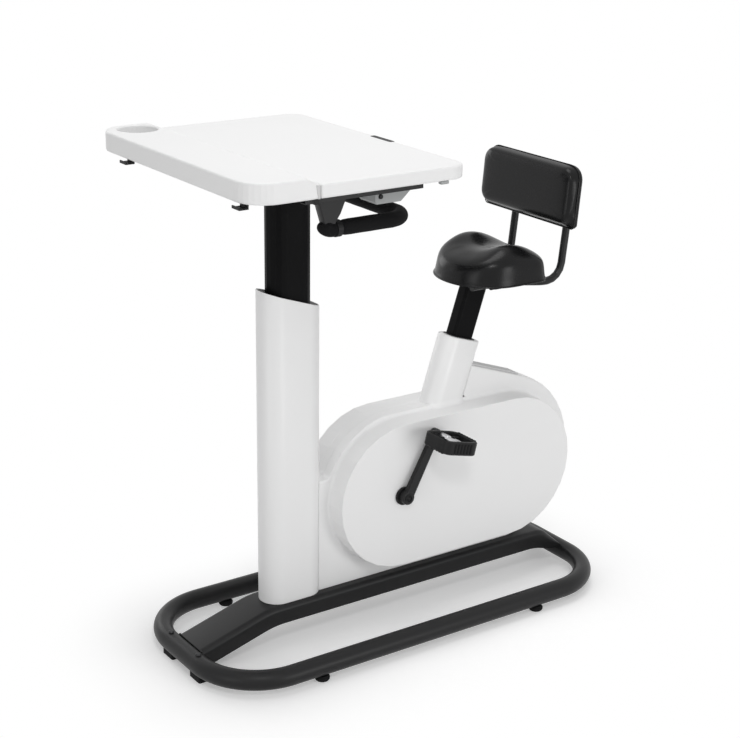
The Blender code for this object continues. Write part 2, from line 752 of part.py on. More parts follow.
# Sliding desk top
top_plan = [(TOP_FRONT_X, -DESK_HALF_Y)]
top_plan += arc(TOP_REAR_X - TOP_CORNER, -DESK_HALF_Y + TOP_CORNER, TOP_CORNER, 270, 360, 8)
top_plan += arc(TOP_REAR_X - TOP_CORNER, DESK_HALF_Y - TOP_CORNER, TOP_CORNER, 0, 90, 8)
top_plan += [(TOP_FRONT_X, DESK_HALF_Y)]
desk_top = plate("desk_slide_top", [top_plan], TOP_T, DESK_WHITE, FLAT,
                 (0, 0, DESK_Z + TOP_T / 2))
soften(desk_top, DESK_EDGE_R, segments=2, angle=50)
slot_side = [(SLOT_Y + u, v) for u, v in obround(SLOT_LEN, SLOT_H, count=6)]
finger_slot = plate("finger_slot", [slot_side], 2 * SLOT_DEPTH, None, END,
                    (TOP_REAR_X, 0, DESK_Z + TOP_T / 2))
cut(desk_top, finger_slot)

# Slide rails welded to the beam's ends, and the runners under the top
rail_len = RAIL_REAR_X - RAIL_FRONT_X
rail_mid = (RAIL_REAR_X + RAIL_FRONT_X) / 2
rail_low = beam_top - RAIL_H
slot = RUNNER_STEM / 2 + RUN
inner = RAIL_W / 2 - RAIL_WALL
rail_end = [(slot, beam_top), (RAIL_W / 2, beam_top), (RAIL_W / 2, rail_low),
            (-RAIL_W / 2, rail_low), (-RAIL_W / 2, beam_top), (-slot, beam_top),
            (-slot, beam_top - RAIL_WALL), (-inner, beam_top - RAIL_WALL),
            (-inner, rail_low + RAIL_WALL), (inner, rail_low + RAIL_WALL),
            (inner, beam_top - RAIL_WALL), (slot, beam_top - RAIL_WALL)]
foot_high = beam_top - RAIL_WALL - RUN
foot_half = inner - RUN
foot_low = foot_high - RUNNER_FOOT_T
stem = RUNNER_STEM / 2
runner_end = [(stem, beam_top), (stem, foot_high), (foot_half, foot_high),
              (foot_half, foot_low), (-foot_half, foot_low), (-foot_half, foot_high),
              (-stem, foot_high), (-stem, beam_top)]
runners = []
for side, sign in (("near", -1), ("far", 1)):
    rail = plate("slide_rail_" + side, [rail_end], rail_len, None, END,
                 (rail_mid, sign * RAIL_Y, 0))
    fuse(desk_beam, rail)
    runners.append(plate("slide_runner_" + side, [runner_end], RUNNER_LEN, GREY, END,
                         (RAIL_REAR_X - RUNNER_BACK - RUNNER_LEN / 2, sign * RAIL_Y, 0)))

# Handlebar: a bent tube in two brackets, with collars and a foam grip
core_x = SOCKET_X - BAR_CORE_R / 2
core_path = bent([(core_x, -BAR_Y, BAR_Z), (BAR_X, -BAR_Y, BAR_Z),
                  (BAR_X, BAR_Y, BAR_Z), (core_x, BAR_Y, BAR_Z)], BAR_BEND, 5)
grip_x = COLLAR_X + COLLAR_W / 2 + GAP
grip_path = bent([(grip_x, -BAR_Y, BAR_Z), (BAR_X, -BAR_Y, BAR_Z),
                  (BAR_X, BAR_Y, BAR_Z), (grip_x, BAR_Y, BAR_Z)], BAR_BEND, 5)
handlebar = tube("handlebar_tube", core_path, BAR_CORE_R, BLACK_PAINT)
grip = tube("handlebar_grip", grip_path, FOAM_R, FOAM)
grip_bore = tube("grip_bore", core_path, BAR_CORE_R + GAP, None)
cut(grip, grip_bore)
beam_low = beam_top - BEAM_DEPTH
socket_end = COLLAR_X - COLLAR_W / 2 - GAP
bracket_side = [(BEAM_REAR_X, beam_low - GAP), (BEAM_FRONT_X, beam_low - GAP)]
bracket_side += arc(SOCKET_X, BAR_Z + 0.002, SOCKET_R, 175, 290, 8)
bracket_side.append((socket_end, BAR_Z + COLLAR_R + 0.002))
lifted = []
for side, sign in (("near", -1), ("far", 1)):
    y = sign * BAR_Y
    bracket = plate("handlebar_bracket_" + side, [bracket_side], BRACKET_T, BLACK_PAINT,
                    SIDE, (0, y, 0))
    hole = disc("bracket_bore_" + side, BAR_CORE_R + GAP, core_x - GAP, 0, None,
                (0, y, BAR_Z), (1, 0, 0), steps=20)
    cut(bracket, hole)
    lifted += [bracket, ring("grip_collar_" + side, COLLAR_R, BAR_CORE_R + GAP, -COLLAR_W / 2,
                             COLLAR_W / 2, GREY, (COLLAR_X, y, BAR_Z), (1, 0, 0), steps=24)]

# Two flat hooks under the tray's front edge
hook_top = DESK_Z - GAP
hook_low = hook_top - HOOK_DROP
hook_front = HOOK_BACK_X - HOOK_REACH
hook_side = [(HOOK_BACK_X + 0.022, hook_top), (HOOK_BACK_X - HOOK_T, hook_top),
             (HOOK_BACK_X - HOOK_T, hook_low + HOOK_T), (hook_front + HOOK_T, hook_low + HOOK_T),
             (hook_front + HOOK_T, hook_low + HOOK_LIP), (hook_front, hook_low + HOOK_LIP),
             (hook_front, hook_low), (HOOK_BACK_X, hook_low), (HOOK_BACK_X, hook_top - HOOK_T),
             (HOOK_BACK_X + 0.022, hook_top - HOOK_T)]
for side, y in (("near", HOOK_NEAR_Y), ("far", HOOK_FAR_Y)):
    lifted.append(plate("tray_hook_" + side, [hook_side], HOOK_W, BLACK, SIDE, (0, y, 0)))

# Catch at the tray's near rear corner, bumper at the sliding top's near edge
catch = box("side_catch", CATCH_SIZE, (TRAY_BACK_X - CATCH_SIZE[0] / 2 - 0.001,
            -DESK_HALF_Y + CATCH_SIZE[1] / 2 + 0.002, hook_top - CATCH_SIZE[2] / 2), BLACK)
bumper = box("desk_bumper", BUMPER_SIZE, (BUMPER_X, -DESK_HALF_Y + BUMPER_SIZE[1] / 2 + 0.002,
             hook_top - BUMPER_SIZE[2] / 2), GREY)
soften(bumper, 0.002, pick=lambda a, b: max(a.z, b.z) < hook_top - 0.001)

# Release lever of the gas spring, on a cross pin between two ears of the beam
lever_z = beam_top - BEAM_DEPTH / 2 - 0.004
lever_at = (LIFT_LEVER_X, LIFT_LEVER_Y, lever_z)
lift_lever = plate("lift_lever", [hull(0, 0, 0.006, LIFT_LEVER_LEN, 0, 0.014, 8)], 0.004,
                   BLACK, FLAT, lever_at)
pin_half = LIFT_EAR_Y + LIFT_EAR_T
fuse(lift_lever, disc("lift_pin", LIFT_PIN_R, -pin_half, pin_half, None, lever_at,
                      (0, 1, 0), steps=12))
ear_h = plate_low + BEAM_WALL / 2 - lever_z + 2 * LIFT_PIN_R
for sign in (-1, 1):
    ear_y = LIFT_LEVER_Y + sign * (LIFT_EAR_Y + LIFT_EAR_T / 2)
    fuse(desk_beam, box("lift_ear" + str(sign), (0.014, LIFT_EAR_T, ear_h),
                        (LIFT_LEVER_X, ear_y, plate_low + BEAM_WALL / 2 - ear_h / 2), None))
lever_slot = box("lever_slot", (3 * BEAM_WALL, 0.018, 0.010),
                 (BEAM_REAR_X, LIFT_LEVER_Y, lever_z + 0.0015), None)
cut(desk_beam, lever_slot, disc("lift_pin_bore", LIFT_PIN_R + GAP, -pin_half - OVER,
                                pin_half + OVER, None, lever_at, (0, 1, 0), steps=12))

# Console against the near rail, with one push button
console_near = -(RAIL_Y - RAIL_W / 2 - GAP)
console_rear = CONSOLE_FRONT_X + CONSOLE_LEN
console_high = DESK_Z - RUN
console_side = [(CONSOLE_FRONT_X, console_high), (CONSOLE_FRONT_X, CONSOLE_LOW_Z + 0.006),
                (CONSOLE_FRONT_X + 0.006, CONSOLE_LOW_Z), (console_rear - 0.042, CONSOLE_LOW_Z),
                (console_rear, console_high - 0.008), (console_rear, console_high)]
console = plate("console_case", [console_side], CONSOLE_W, GREY, SIDE,
                (0, console_near + CONSOLE_W / 2, 0))
soften(console, 0.003, segments=2, angle=50)
well = disc("button_well", BUTTON_R + GAP, 0.0, 0.012, None,
            (BUTTON_X, console_near - 0.004, BUTTON_Z), (0, 1, 0), steps=20)
cut(console, well)
button = disc("console_button", BUTTON_R, -0.0035, 0.005, BLACK,
              (BUTTON_X, console_near, BUTTON_Z), (0, 1, 0), steps=20)
soften(button, 0.001)

# Housing: two moulded halves, each a shell with a round-ended cover standing out of it
seat_k = math.tan(SEAT_LEAN)
shell_low = SPINE_TOP + GAP
shell_top = COVER_Z + SHELL_FRONT_R


def seat_x(z):
    return SEAT_REF_X + seat_k * (z - SEAT_REF_Z)


def shell_outline(inset, low, front):
    """The shell seen from the side: rear arc, fin, flat top, front arc and neck."""
    rear_r = SHELL_REAR_R - inset
    front_r = SHELL_FRONT_R - inset
    fin_turn = 90 + math.degrees(math.atan(FIN_SLOPE))
    points = []
    if COVER_Z - low < rear_r:
        start = -math.degrees(math.asin((COVER_Z - low) / rear_r))
    else:
        start = -90
        points.append((COVER_X1, low))
    points += arc(COVER_X1, COVER_Z, rear_r, start, fin_turn, 16)
    end_x, end_z = points[-1]
    seat_foot = SEAT_REF_X - seat_k * SEAT_REF_Z
    fin_z = (end_z + FIN_SLOPE * (seat_foot - end_x)) / (1 - FIN_SLOPE * seat_k)
    points.append((seat_x(fin_z), fin_z))
    flat_z = COVER_Z + front_r
    points.append((seat_x(flat_z), flat_z))
    neck_z = NECK_TOP_Z - inset
    turn_r = NECK_FILLET + inset
    turn_z = neck_z + turn_r
    turn_x = COVER_X0 - math.sqrt((front_r + turn_r) ** 2 - (turn_z - COVER_Z) ** 2)
    meet = math.degrees(math.atan2(turn_z - COVER_Z, turn_x - COVER_X0))
    points += arc(COVER_X0, COVER_Z, front_r, 90, meet, 8)
    points += arc(turn_x, turn_z, turn_r, meet - 180, -90, 4)[1:]
    return points + [(front, neck_z), (front, low)]


def cover_rings(sign, spread, first, last):
    """Round-ended rings across the cover, with the concave fillet at its foot."""
    foot = SHELL_Y - GAP
    levels = [(COVER_R + FILLET, first), (COVER_R + FILLET, foot - GAP)]
    for i in range(1, 5):
        turn = math.radians(90 * i / 4)
        levels.append((COVER_R + FILLET * (1 - math.sin(turn)),
                       foot + FILLET * (1 - math.cos(turn))))
    levels += [(COVER_R, last - COVER_EDGE), (COVER_R - COVER_EDGE, last)]
    return [[(x, sign * y, z) for x, z in stadium(COVER_X0, COVER_X1, r + spread, 14, COVER_Z)]
            for r, y in levels]


def fairing_ring(z, extra):
    """A level slice of the leaning round-ended seat tube fairing."""
    flat = obround(FAIRING_LEN + 2 * extra, FAIRING_W + 2 * extra, count=10)
    return [(seat_x(z) + x / math.cos(SEAT_LEAN), y, z) for x, y in flat]


def fairing_rings(base, top, spread):
    rings = []
    for i in range(4):
        turn = math.radians(90 * i / 3)
        rings.append(fairing_ring(base + FAIRING_FLARE * (1 - math.cos(turn)),
                                  FAIRING_FLARE * (1 - math.sin(turn)) + spread))
    return rings + [fairing_ring(top, spread)]


shroud_room = plate("shroud_room", [obround(SHROUD_LEN + 2 * GAP, SHROUD_W + 2 * GAP,
                    count=14, x=COLUMN_X)], 2.0, None, FLAT, (0, 0, 1.0))
fairing_base = COVER_Z + COVER_R + GAP
fairing_high = SEAT_REF_Z + FAIRING_UP
fin_room = loft("fin_room", [fairing_ring(shell_top - GAP, FAIRING_FLARE + GAP),
                             fairing_ring(shell_top + FAIRING_FLARE, GAP),
                             fairing_ring(fairing_high, GAP)], None)

# The seat's guide tube leans through the housing top
seat_frame = Matrix.Translation((SEAT_REF_X, 0, SEAT_REF_Z)) @ Matrix.Rotation(SEAT_LEAN, 4, "Y")


def along_seat(name, low, high, grow, material):
    """A rounded bar along the seat tube's axis, grown from the post's section."""
    outline = round_rect(POST_LEN / 2 + grow, POST_W / 2 + grow, POST_CORNER + grow)
    made = plate(name, [outline], high - low, material)
    made.matrix_world = seat_frame @ Matrix.Translation((0, 0, (low + high) / 2))
    return made


bush_out = GAP + BUSH_T
tube_in = bush_out + GAP
tube_out = tube_in + GUIDE_WALL
guide_room = along_seat("guide_room", -GUIDE_LEN - GAP, GAP, tube_out + GAP, None)
seat_guide = along_seat("seat_guide_tube", -GUIDE_LEN, -FAIRING_WALL - GAP, tube_out, BLACK_PAINT)
cut(seat_guide, along_seat("seat_guide_bore", -GUIDE_LEN - OVER, 0.0, tube_in, None))
axle_room = disc("axle_room", AXLE_R + 0.002, -0.2, 0.2, None, (CRANK_X, 0, CRANK_Z),
                 (0, 1, 0), steps=32)

neck_front = COLUMN_X + (SHROUD_LEN - SHROUD_W) / 2
for side, sign in (("near", -1), ("far", 1)):
    half = SHELL_Y - GAP / 2
    shell = plate("housing_" + side, [shell_outline(0, shell_low, neck_front)], half, WHITE,
                  SIDE, (0, sign * (GAP / 2 + half / 2), 0))

    def on_rim(a, b):
        outside = min(abs(a.y), abs(b.y)) > SHELL_Y - GAP
        return outside and max(a.z, b.z) > shell_low + GAP and max(a.x, b.x) > neck_front + GAP

    soften(shell, RIM_R, segments=2, pick=on_rim)
    cover = loft("cover_" + side, cover_rings(sign, 0, GAP / 2, COVER_Y), None)
    inner_cover = loft("cover_inside_" + side, [
        [(x, sign * y, z) for x, z in stadium(COVER_X0, COVER_X1, COVER_R - SHELL_WALL, 14,
                                              COVER_Z)]
        for y in (-OVER, COVER_Y - SHELL_WALL)], None)
    inner_half = SHELL_Y - SHELL_WALL
    inner_shell = plate("shell_inside_" + side,
                        [shell_outline(SHELL_WALL, shell_low - 10 * OVER, neck_front - 10 * OVER)],
                        inner_half + OVER, None, SIDE, (0, sign * (inner_half - OVER) / 2, 0))
    cut(shell, fin_room)
    fuse(shell, cover)
    fuse(inner_cover, inner_shell)
    cut(shell, inner_cover, shroud_room, guide_room, axle_room)
    shell.data.shade_smooth()
    shell.data.set_sharp_from_angle(angle=math.radians(30))

# Strip on the fin's top edge
fin_turn = math.atan(FIN_SLOPE)
rear_turn = math.pi / 2 + fin_turn
fin_end = Vector((COVER_X1 + SHELL_REAR_R * math.cos(rear_turn), 0,
                  COVER_Z + SHELL_REAR_R * math.sin(rear_turn)))
strip_dir = Vector((math.cos(fin_turn), 0, math.sin(fin_turn)))
strip_up = Vector((-math.sin(fin_turn), 0, math.cos(fin_turn)))
strip_rear = fin_end - strip_dir * STRIP_BACK
strip_long = 0.30
strip_centre = strip_rear - strip_dir * strip_long / 2 + strip_up * (GAP + STRIP_T / 2)
fin_strip = box("fin_strip", (strip_long, STRIP_W, STRIP_T), strip_centre, BLACK,
                Matrix.Rotation(-fin_turn, 4, "Y"))
strip_room = loft("strip_room", [fairing_ring(fairing_base, GAP),
                                 fairing_ring(fairing_high, GAP)], None)
strip_z = strip_rear.z - strip_dir.z * strip_long / 2
front_room = box("strip_front_room", (0.4, 0.2, 0.4), (seat_x(strip_z) - 0.2, 0, strip_z), None)
cut(fin_strip, front_room, strip_room)

# Fairing round the seat tube, open below, with a cap that the post comes through
fairing = loft("seat_fairing", fairing_rings(fairing_base, fairing_high, 0.0), WHITE)
above = box("fairing_above", (0.3, 0.3, 0.2), (0, 0, 0), None)
above.matrix_world = seat_frame @ Matrix.Translation((0, 0, 0.1))
fairing_inside = loft("fairing_inside", [fairing_ring(fairing_base - 0.05, -FAIRING_WALL),
                                         fairing_ring(fairing_high, -FAIRING_WALL)], None)
cap_room = box("fairing_cap_room", (0.3, 0.3, 0.2), (0, 0, 0), None)
cap_room.matrix_world = seat_frame @ Matrix.Translation((0, 0, 0.1 - FAIRING_WALL))
cut(fairing_inside, cap_room)
bush_room = along_seat("bush_room", -0.1, 0.02, bush_out + GAP, None)
cut(fairing, above, fairing_inside, bush_room)
for sign in (-1, 1):
    cover_room = loft("cover_room" + str(sign), cover_rings(sign, GAP, -0.001, COVER_Y), None)
    cut(fairing, cover_room)
lower_shell = box("lower_shell", (1.0, 2 * (SHELL_Y + GAP), 1.0),
                  (0, 0, shell_top + GAP - 0.5), None)
cut(fairing, lower_shell)

# Steel drive frame: an upright plate with two bearing hubs, notched for the guide tube
frame_side = [(-0.100, shell_low), (0.360, shell_low)]
frame_side += [(x, COVER_Z + rise) for x, rise in (
    (0.395, -0.066), (0.375, 0.019), (0.300, 0.049), (0.205, 0.086),
    (0.090, 0.119), (-0.020, 0.039), (-0.050, -0.026))]
drive_frame = plate("drive_frame", [frame_side], FRAME_T, BLACK_PAINT, SIDE)
crank_at = (CRANK_X, 0, CRANK_Z)
wheel_at = (COVER_X1, 0, COVER_Z)
crank_hub = disc("crank_hub", HUB_R, -HUB_HALF, HUB_HALF, None, crank_at, (0, 1, 0), steps=24)
wheel_hub = disc("wheel_hub", WHEEL_HUB_R, -WHEEL_HUB_HALF, WHEEL_HUB_HALF, None, wheel_at,
                 (0, 1, 0), steps=24)
crank_bore = disc("crank_bore", BEARING_R + GAP, -0.1, 0.1, None, crank_at, (0, 1, 0), steps=24)
wheel_bore = disc("wheel_bore", SHAFT_R + GAP, -0.1, 0.1, None, wheel_at, (0, 1, 0), steps=16)
fuse(drive_frame, crank_hub, wheel_hub)
brake_angle = math.radians(153)
brake_r = WHEEL_R + BRAKE_IN + BRAKE_BAND / 2
brake_at = (COVER_X1 + brake_r * math.cos(brake_angle), 0,
            COVER_Z + brake_r * math.sin(brake_angle))
brake_bore = disc("brake_bore", BRAKE_PIN_R + GAP, -0.02, 0.02, None, brake_at, (0, 1, 0),
                  steps=16)
cut(drive_frame, crank_bore, wheel_bore, guide_room, brake_bore)


crank_bearing = ring("crank_bearing", BEARING_R, AXLE_R + GAP, -HUB_HALF + 0.001,
                     HUB_HALF - 0.001, STEEL, crank_at, (0, 1, 0), steps=24)

# Crank axle with its large pulley
crank_axle = turned("crank_axle",
                    [(0, AXLE_HALF), (AXLE_END_R, AXLE_HALF), (AXLE_END_R, AXLE_SHOULDER),
                     (AXLE_R, AXLE_SHOULDER), (AXLE_R, -AXLE_SHOULDER),
                     (AXLE_END_R, -AXLE_SHOULDER), (AXLE_END_R, -AXLE_HALF), (0, -AXLE_HALF)],
                    STEEL, crank_at, (0, 1, 0), steps=24)
groove_high = PULLEY_Y + PULLEY_W / 2
groove_low = PULLEY_Y - PULLEY_W / 2
lip = PULLEY_LIP / 2
web = 0.0025
drive_pulley = turned("drive_pulley", [
    (PULLEY_R + PULLEY_LIP, groove_high + lip), (PULLEY_R + PULLEY_LIP, groove_high),
    (PULLEY_R, groove_high), (PULLEY_R, groove_low), (PULLEY_R + PULLEY_LIP, groove_low),
    (PULLEY_R + PULLEY_LIP, groove_low - lip), (PULLEY_R - 0.010, groove_low - lip),
    (PULLEY_R - 0.010, PULLEY_Y - web), (HUB_R, PULLEY_Y - web), (HUB_R, groove_low - lip),
    (AXLE_R + GAP, groove_low - lip), (AXLE_R + GAP, groove_high + lip),
    (HUB_R, groove_high + lip), (HUB_R, PULLEY_Y + web), (PULLEY_R - 0.010, PULLEY_Y + web),
    (PULLEY_R - 0.010, groove_high + lip)], BLACK, crank_at, (0, 1, 0), steps=28, ring=True)

# Flywheel on its shaft, with the small pulley
wheel_high = WHEEL_Y + WHEEL_T / 2
wheel_low = WHEEL_Y - WHEEL_T / 2
flywheel = turned("flywheel", [
    (0, groove_high + lip), (SMALL_PULLEY_R + PULLEY_LIP, groove_high + lip),
    (SMALL_PULLEY_R + PULLEY_LIP, groove_high), (SMALL_PULLEY_R, groove_high),
    (SMALL_PULLEY_R, groove_low), (SMALL_PULLEY_R + PULLEY_LIP, groove_low),
    (SMALL_PULLEY_R + PULLEY_LIP, groove_low - lip), (SHAFT_R, groove_low - lip),
    (SHAFT_R, wheel_high), (WHEEL_R - 0.002, wheel_high), (WHEEL_R, wheel_high - 0.002),
    (WHEEL_R, wheel_low + 0.002), (WHEEL_R - 0.002, wheel_low),
    (WHEEL_R - 0.025, wheel_low), (WHEEL_R - 0.025, WHEEL_Y), (SHAFT_R + 0.020, WHEEL_Y),
    (SHAFT_R + 0.020, wheel_low), (0, wheel_low)], IRON, wheel_at, (0, 1, 0), steps=28)

# Belt round both pulleys
belt_out = [hull(CRANK_X, CRANK_Z, PULLEY_R + GAP + BELT_T, COVER_X1, COVER_Z,
                 SMALL_PULLEY_R + GAP + BELT_T, 12),
            hull(CRANK_X, CRANK_Z, PULLEY_R + GAP * 2, COVER_X1, COVER_Z,
                 SMALL_PULLEY_R + GAP * 2, 12)]
drive_belt = plate("drive_belt", belt_out, BELT_W, RUBBER, SIDE, (0, PULLEY_Y, 0))

# Magnetic brake arm over the flywheel's rim, on a pin in the frame
rim_in = WHEEL_R + BRAKE_IN
brake_start = math.degrees(brake_angle)
brake_side = arc(COVER_X1, COVER_Z, rim_in, brake_start, 95, 8)
brake_side += arc(COVER_X1, COVER_Z, rim_in + BRAKE_BAND, 95, brake_start, 8)
brake_arm = plate("brake_arm", [brake_side], WHEEL_T - 0.004, STEEL, SIDE, (0, WHEEL_Y, 0))
brake_pin = disc("brake_pin", BRAKE_PIN_R, WHEEL_Y - WHEEL_T / 2 + 0.004, FRAME_T / 2, None,
                 brake_at, (0, 1, 0), steps=16)
fuse(brake_arm, brake_pin)

# Seat post, its bush, and the clamp under the saddle
seat_bush = along_seat("seat_bush", -BUSH_LEN, BUSH_LIP_T, bush_out, BLACK)
bush_lip = along_seat("bush_lip", GAP, BUSH_LIP_T, bush_out + BUSH_LIP, None)
fuse(seat_bush, bush_lip)
cut(seat_bush, along_seat("bush_bore", -0.2, 0.1, GAP, None))
clamp_top = SADDLE_LOW - GAP
clamp_low = clamp_top - CLAMP_T
seat_post = along_seat("seat_post", -POST_IN, 0.17, 0.0, BLACK_PAINT)
post_over = box("post_over", (0.3, 0.3, 0.1), (0.27, 0, clamp_low - GAP + 0.05), None)
post_inside = along_seat("post_inside", -POST_IN - OVER, 0.2, -POST_WALL_SEAT, None)
cut(seat_post, post_over, post_inside)
clamp_x = seat_x(clamp_low)
clamp_plate = box("seat_clamp", (CLAMP_LEN, 2 * (BACK_TUCK_Y - BACK_TUBE_R - GAP), CLAMP_T),
                  (clamp_x, 0, clamp_low + CLAMP_T / 2), BLACK_PAINT)
clamp_plug = along_seat("clamp_plug", 0.100, 0.145, -POST_WALL_SEAT - GAP, None)
fuse(clamp_plate, clamp_plug)
clamp_over = box("clamp_over", (0.3, 0.3, 0.1), (clamp_x, 0, clamp_top + 0.05), None)
cut(clamp_plate, clamp_over)

# Saddle: a wide padded cushion with two rear humps, the pan let into its underside
saddle_mid = (SADDLE_FRONT_X + SADDLE_REAR_X) / 2
saddle_half_x = (SADDLE_REAR_X - SADDLE_FRONT_X) / 2


def saddle_half(x):
    """Half the saddle's width at a station: a round nose and a blunter rear."""
    half = SADDLE_HALF_Y
    front = (x - SADDLE_FRONT_X) / SADDLE_FRONT_R
    rear = (SADDLE_REAR_X - x) / SADDLE_REAR_R
    if front < 1:
        half *= (1 - (1 - front) ** 2.1) ** (1 / 2.1)
    if rear < 1:
        half *= (1 - (1 - rear) ** 2.6) ** (1 / 2.6)
    return half


def saddle_plan(share, count=18):
    """The saddle's outline from above, drawn in to a share of its size."""
    side = []
    for i in range(count):
        x = saddle_mid - saddle_half_x * math.cos(math.pi * (i + 0.5) / count)
        side.append((saddle_mid + share * (x - saddle_mid), share * saddle_half(x)))
    return [(x, -y) for x, y in side] + side[::-1]


def saddle_top(x, y):
    """Height of the seat surface over the rim: crowned, with two rear humps."""
    rise = SADDLE_H + SADDLE_CROWN * (1 - ((x - saddle_mid) / saddle_half_x) ** 2)
    across = math.exp(-((abs(y) - HUMP_Y) / 0.038) ** 2)
    return rise + HUMP_H * across * math.exp(-((x - HUMP_X) / 0.075) ** 2)


def saddle_ring(share):
    grow = (1 - share ** 9) ** (1 / 2.6)
    return [(x, y, SADDLE_LOW + saddle_top(x, y) * grow) for x, y in saddle_plan(share)]


saddle_rings = [[(x, y, SADDLE_LOW) for x, y in saddle_plan(0.985)],
                [(x, y, SADDLE_LOW + 0.006) for x, y in saddle_plan(1.0)]]
saddle_rings += [saddle_ring(r) for r in (0.99, 0.97, 0.93, 0.85, 0.70, 0.50, 0.30, 0.12)]
saddle = loft("saddle_cushion", saddle_rings, VINYL)
pan = plate("saddle_pan", [saddle_plan(PAN_SHARE, 12)], PAN_T, BLACK, FLAT,
            (0, 0, SADDLE_LOW + PAN_T / 2))
pan_room = plate("pan_room", [saddle_plan(PAN_SHARE + GAP / saddle_half_x, 12)], PAN_T + GAP + OVER,
                 None, FLAT, (0, 0, SADDLE_LOW + (PAN_T + GAP - OVER) / 2))
cut(saddle, pan_room)

# Backrest: two bent tubes with a cross strap, a board and a padded front
back_mid = (BACK_PAD_LOW + BACK_PAD_HIGH) / 2
lean = math.atan(BACK_FACE_LEAN)
outward = Vector((-math.cos(lean), 0, math.sin(lean)))
face_at = Vector((BACK_FACE_X, 0, back_mid))


def behind_face(depth, z):
    """The x of a line parallel to the backrest's face, a depth behind it."""
    return BACK_FACE_X + depth / math.cos(lean) + BACK_FACE_LEAN * (z - back_mid)


def back_tube_path(y):
    """From under the saddle, up and then forward to lie against the board."""
    leave_z = BACK_PAD_LOW
    join_z = leave_z + BACK_JOIN
    rest = BACK_T + GAP + BACK_TUBE_R
    tuck_y = math.copysign(BACK_TUCK_Y, y)
    return bent([(clamp_x - 0.045, tuck_y, BACK_TUBE_Z), (BACK_TUCK_X, tuck_y, BACK_TUBE_Z),
                 (BACK_SPREAD_X, y, BACK_TUBE_Z), (BACK_CORNER_X, y, BACK_TUBE_Z),
                 (BACK_CORNER_X + BACK_LEAN * (leave_z - BACK_TUBE_Z), y, leave_z),
                 (behind_face(rest, join_z), y, join_z),
                 (behind_face(rest, BACK_TUBE_TOP), y, BACK_TUBE_TOP)], BACK_BEND, 4)


back_frame = tube("backrest_frame", back_tube_path(-BACK_TUBE_Y), BACK_TUBE_R, BLACK_PAINT)
far_tube = tube("back_tube_far", back_tube_path(BACK_TUBE_Y), BACK_TUBE_R, None)
strap = box("back_strap", (STRAP_W, 2 * BACK_TUCK_Y, 0.005), (STRAP_X, 0, BACK_TUBE_Z), None)
fuse(back_frame, far_tube, strap)
back_turn = Matrix.Rotation(lean, 4, "Y")
pad_half_z = (BACK_PAD_HIGH - BACK_PAD_LOW) / 2
top_r = BACK_CORNER - 0.012
low_r = 0.006
side_y = BACK_HALF_Y - low_r
board_low = -pad_half_z - BOARD_DROP + low_r
board_outline = arc(BACK_HALF_Y - top_r, pad_half_z - top_r, top_r, 0, 90, 5)
board_outline += arc(top_r - BACK_HALF_Y, pad_half_z - top_r, top_r, 90, 180, 5)
board_outline += arc(-side_y, board_low, low_r, 180, 270, 3)
board_outline += arc(side_y, board_low, low_r, 270, 360, 3)
board = plate("backrest_board", [board_outline], BOARD_T, BLACK)
board_at = face_at - outward * (BACK_T - BOARD_T / 2)
board.matrix_world = Matrix.Translation(board_at) @ back_turn @ END
pad_depth = BACK_T - BOARD_T - GAP
pad_rings = []
for depth, inset in ((0.0, 0.004), (0.2, 0.0), (0.66, 0.0), (0.90, 0.006), (1.0, 0.020)):
    outline = round_rect(BACK_HALF_Y - inset, pad_half_z - inset, BACK_CORNER - inset, 5)
    pad_rings.append([(-pad_depth * depth, y, z) for y, z in outline])
pad = loft("backrest_pad", pad_rings, VINYL)
pad.matrix_world = Matrix.Translation(face_at - outward * pad_depth) @ back_turn

# Seat height lever, its cross pin in an ear under the clamp
lever_y = LEVER_Y - LEVER_HUB_R - LEVER_EAR_T / 2 - RUN
seat_lever_at = (clamp_x + 0.030, lever_y, clamp_low - LEVER_DROP)
seat_lever = plate("seat_lever", [hull(0, 0, LEVER_HUB_R, LEVER_LEN, 0, 0.008, 8)], 0.004, BLACK,
                   FLAT, seat_lever_at)
lever_pin = disc("seat_lever_pin", LEVER_PIN_R, 0.0, LEVER_HUB_R + RUN + LEVER_EAR_T, None,
                 seat_lever_at, (0, 1, 0), steps=12)
fuse(seat_lever, lever_pin)
lever_ear = box("seat_lever_ear", (0.014, LEVER_EAR_T, 0.026),
                (seat_lever_at[0], LEVER_Y, clamp_low - 0.003), None)
ear_bore = disc("seat_lever_bore", LEVER_PIN_R + GAP, -0.02, 0.02, None,
                (seat_lever_at[0], LEVER_Y, seat_lever_at[2]), (0, 1, 0), steps=12)
fuse(clamp_plate, lever_ear)
cut(clamp_plate, ear_bore)

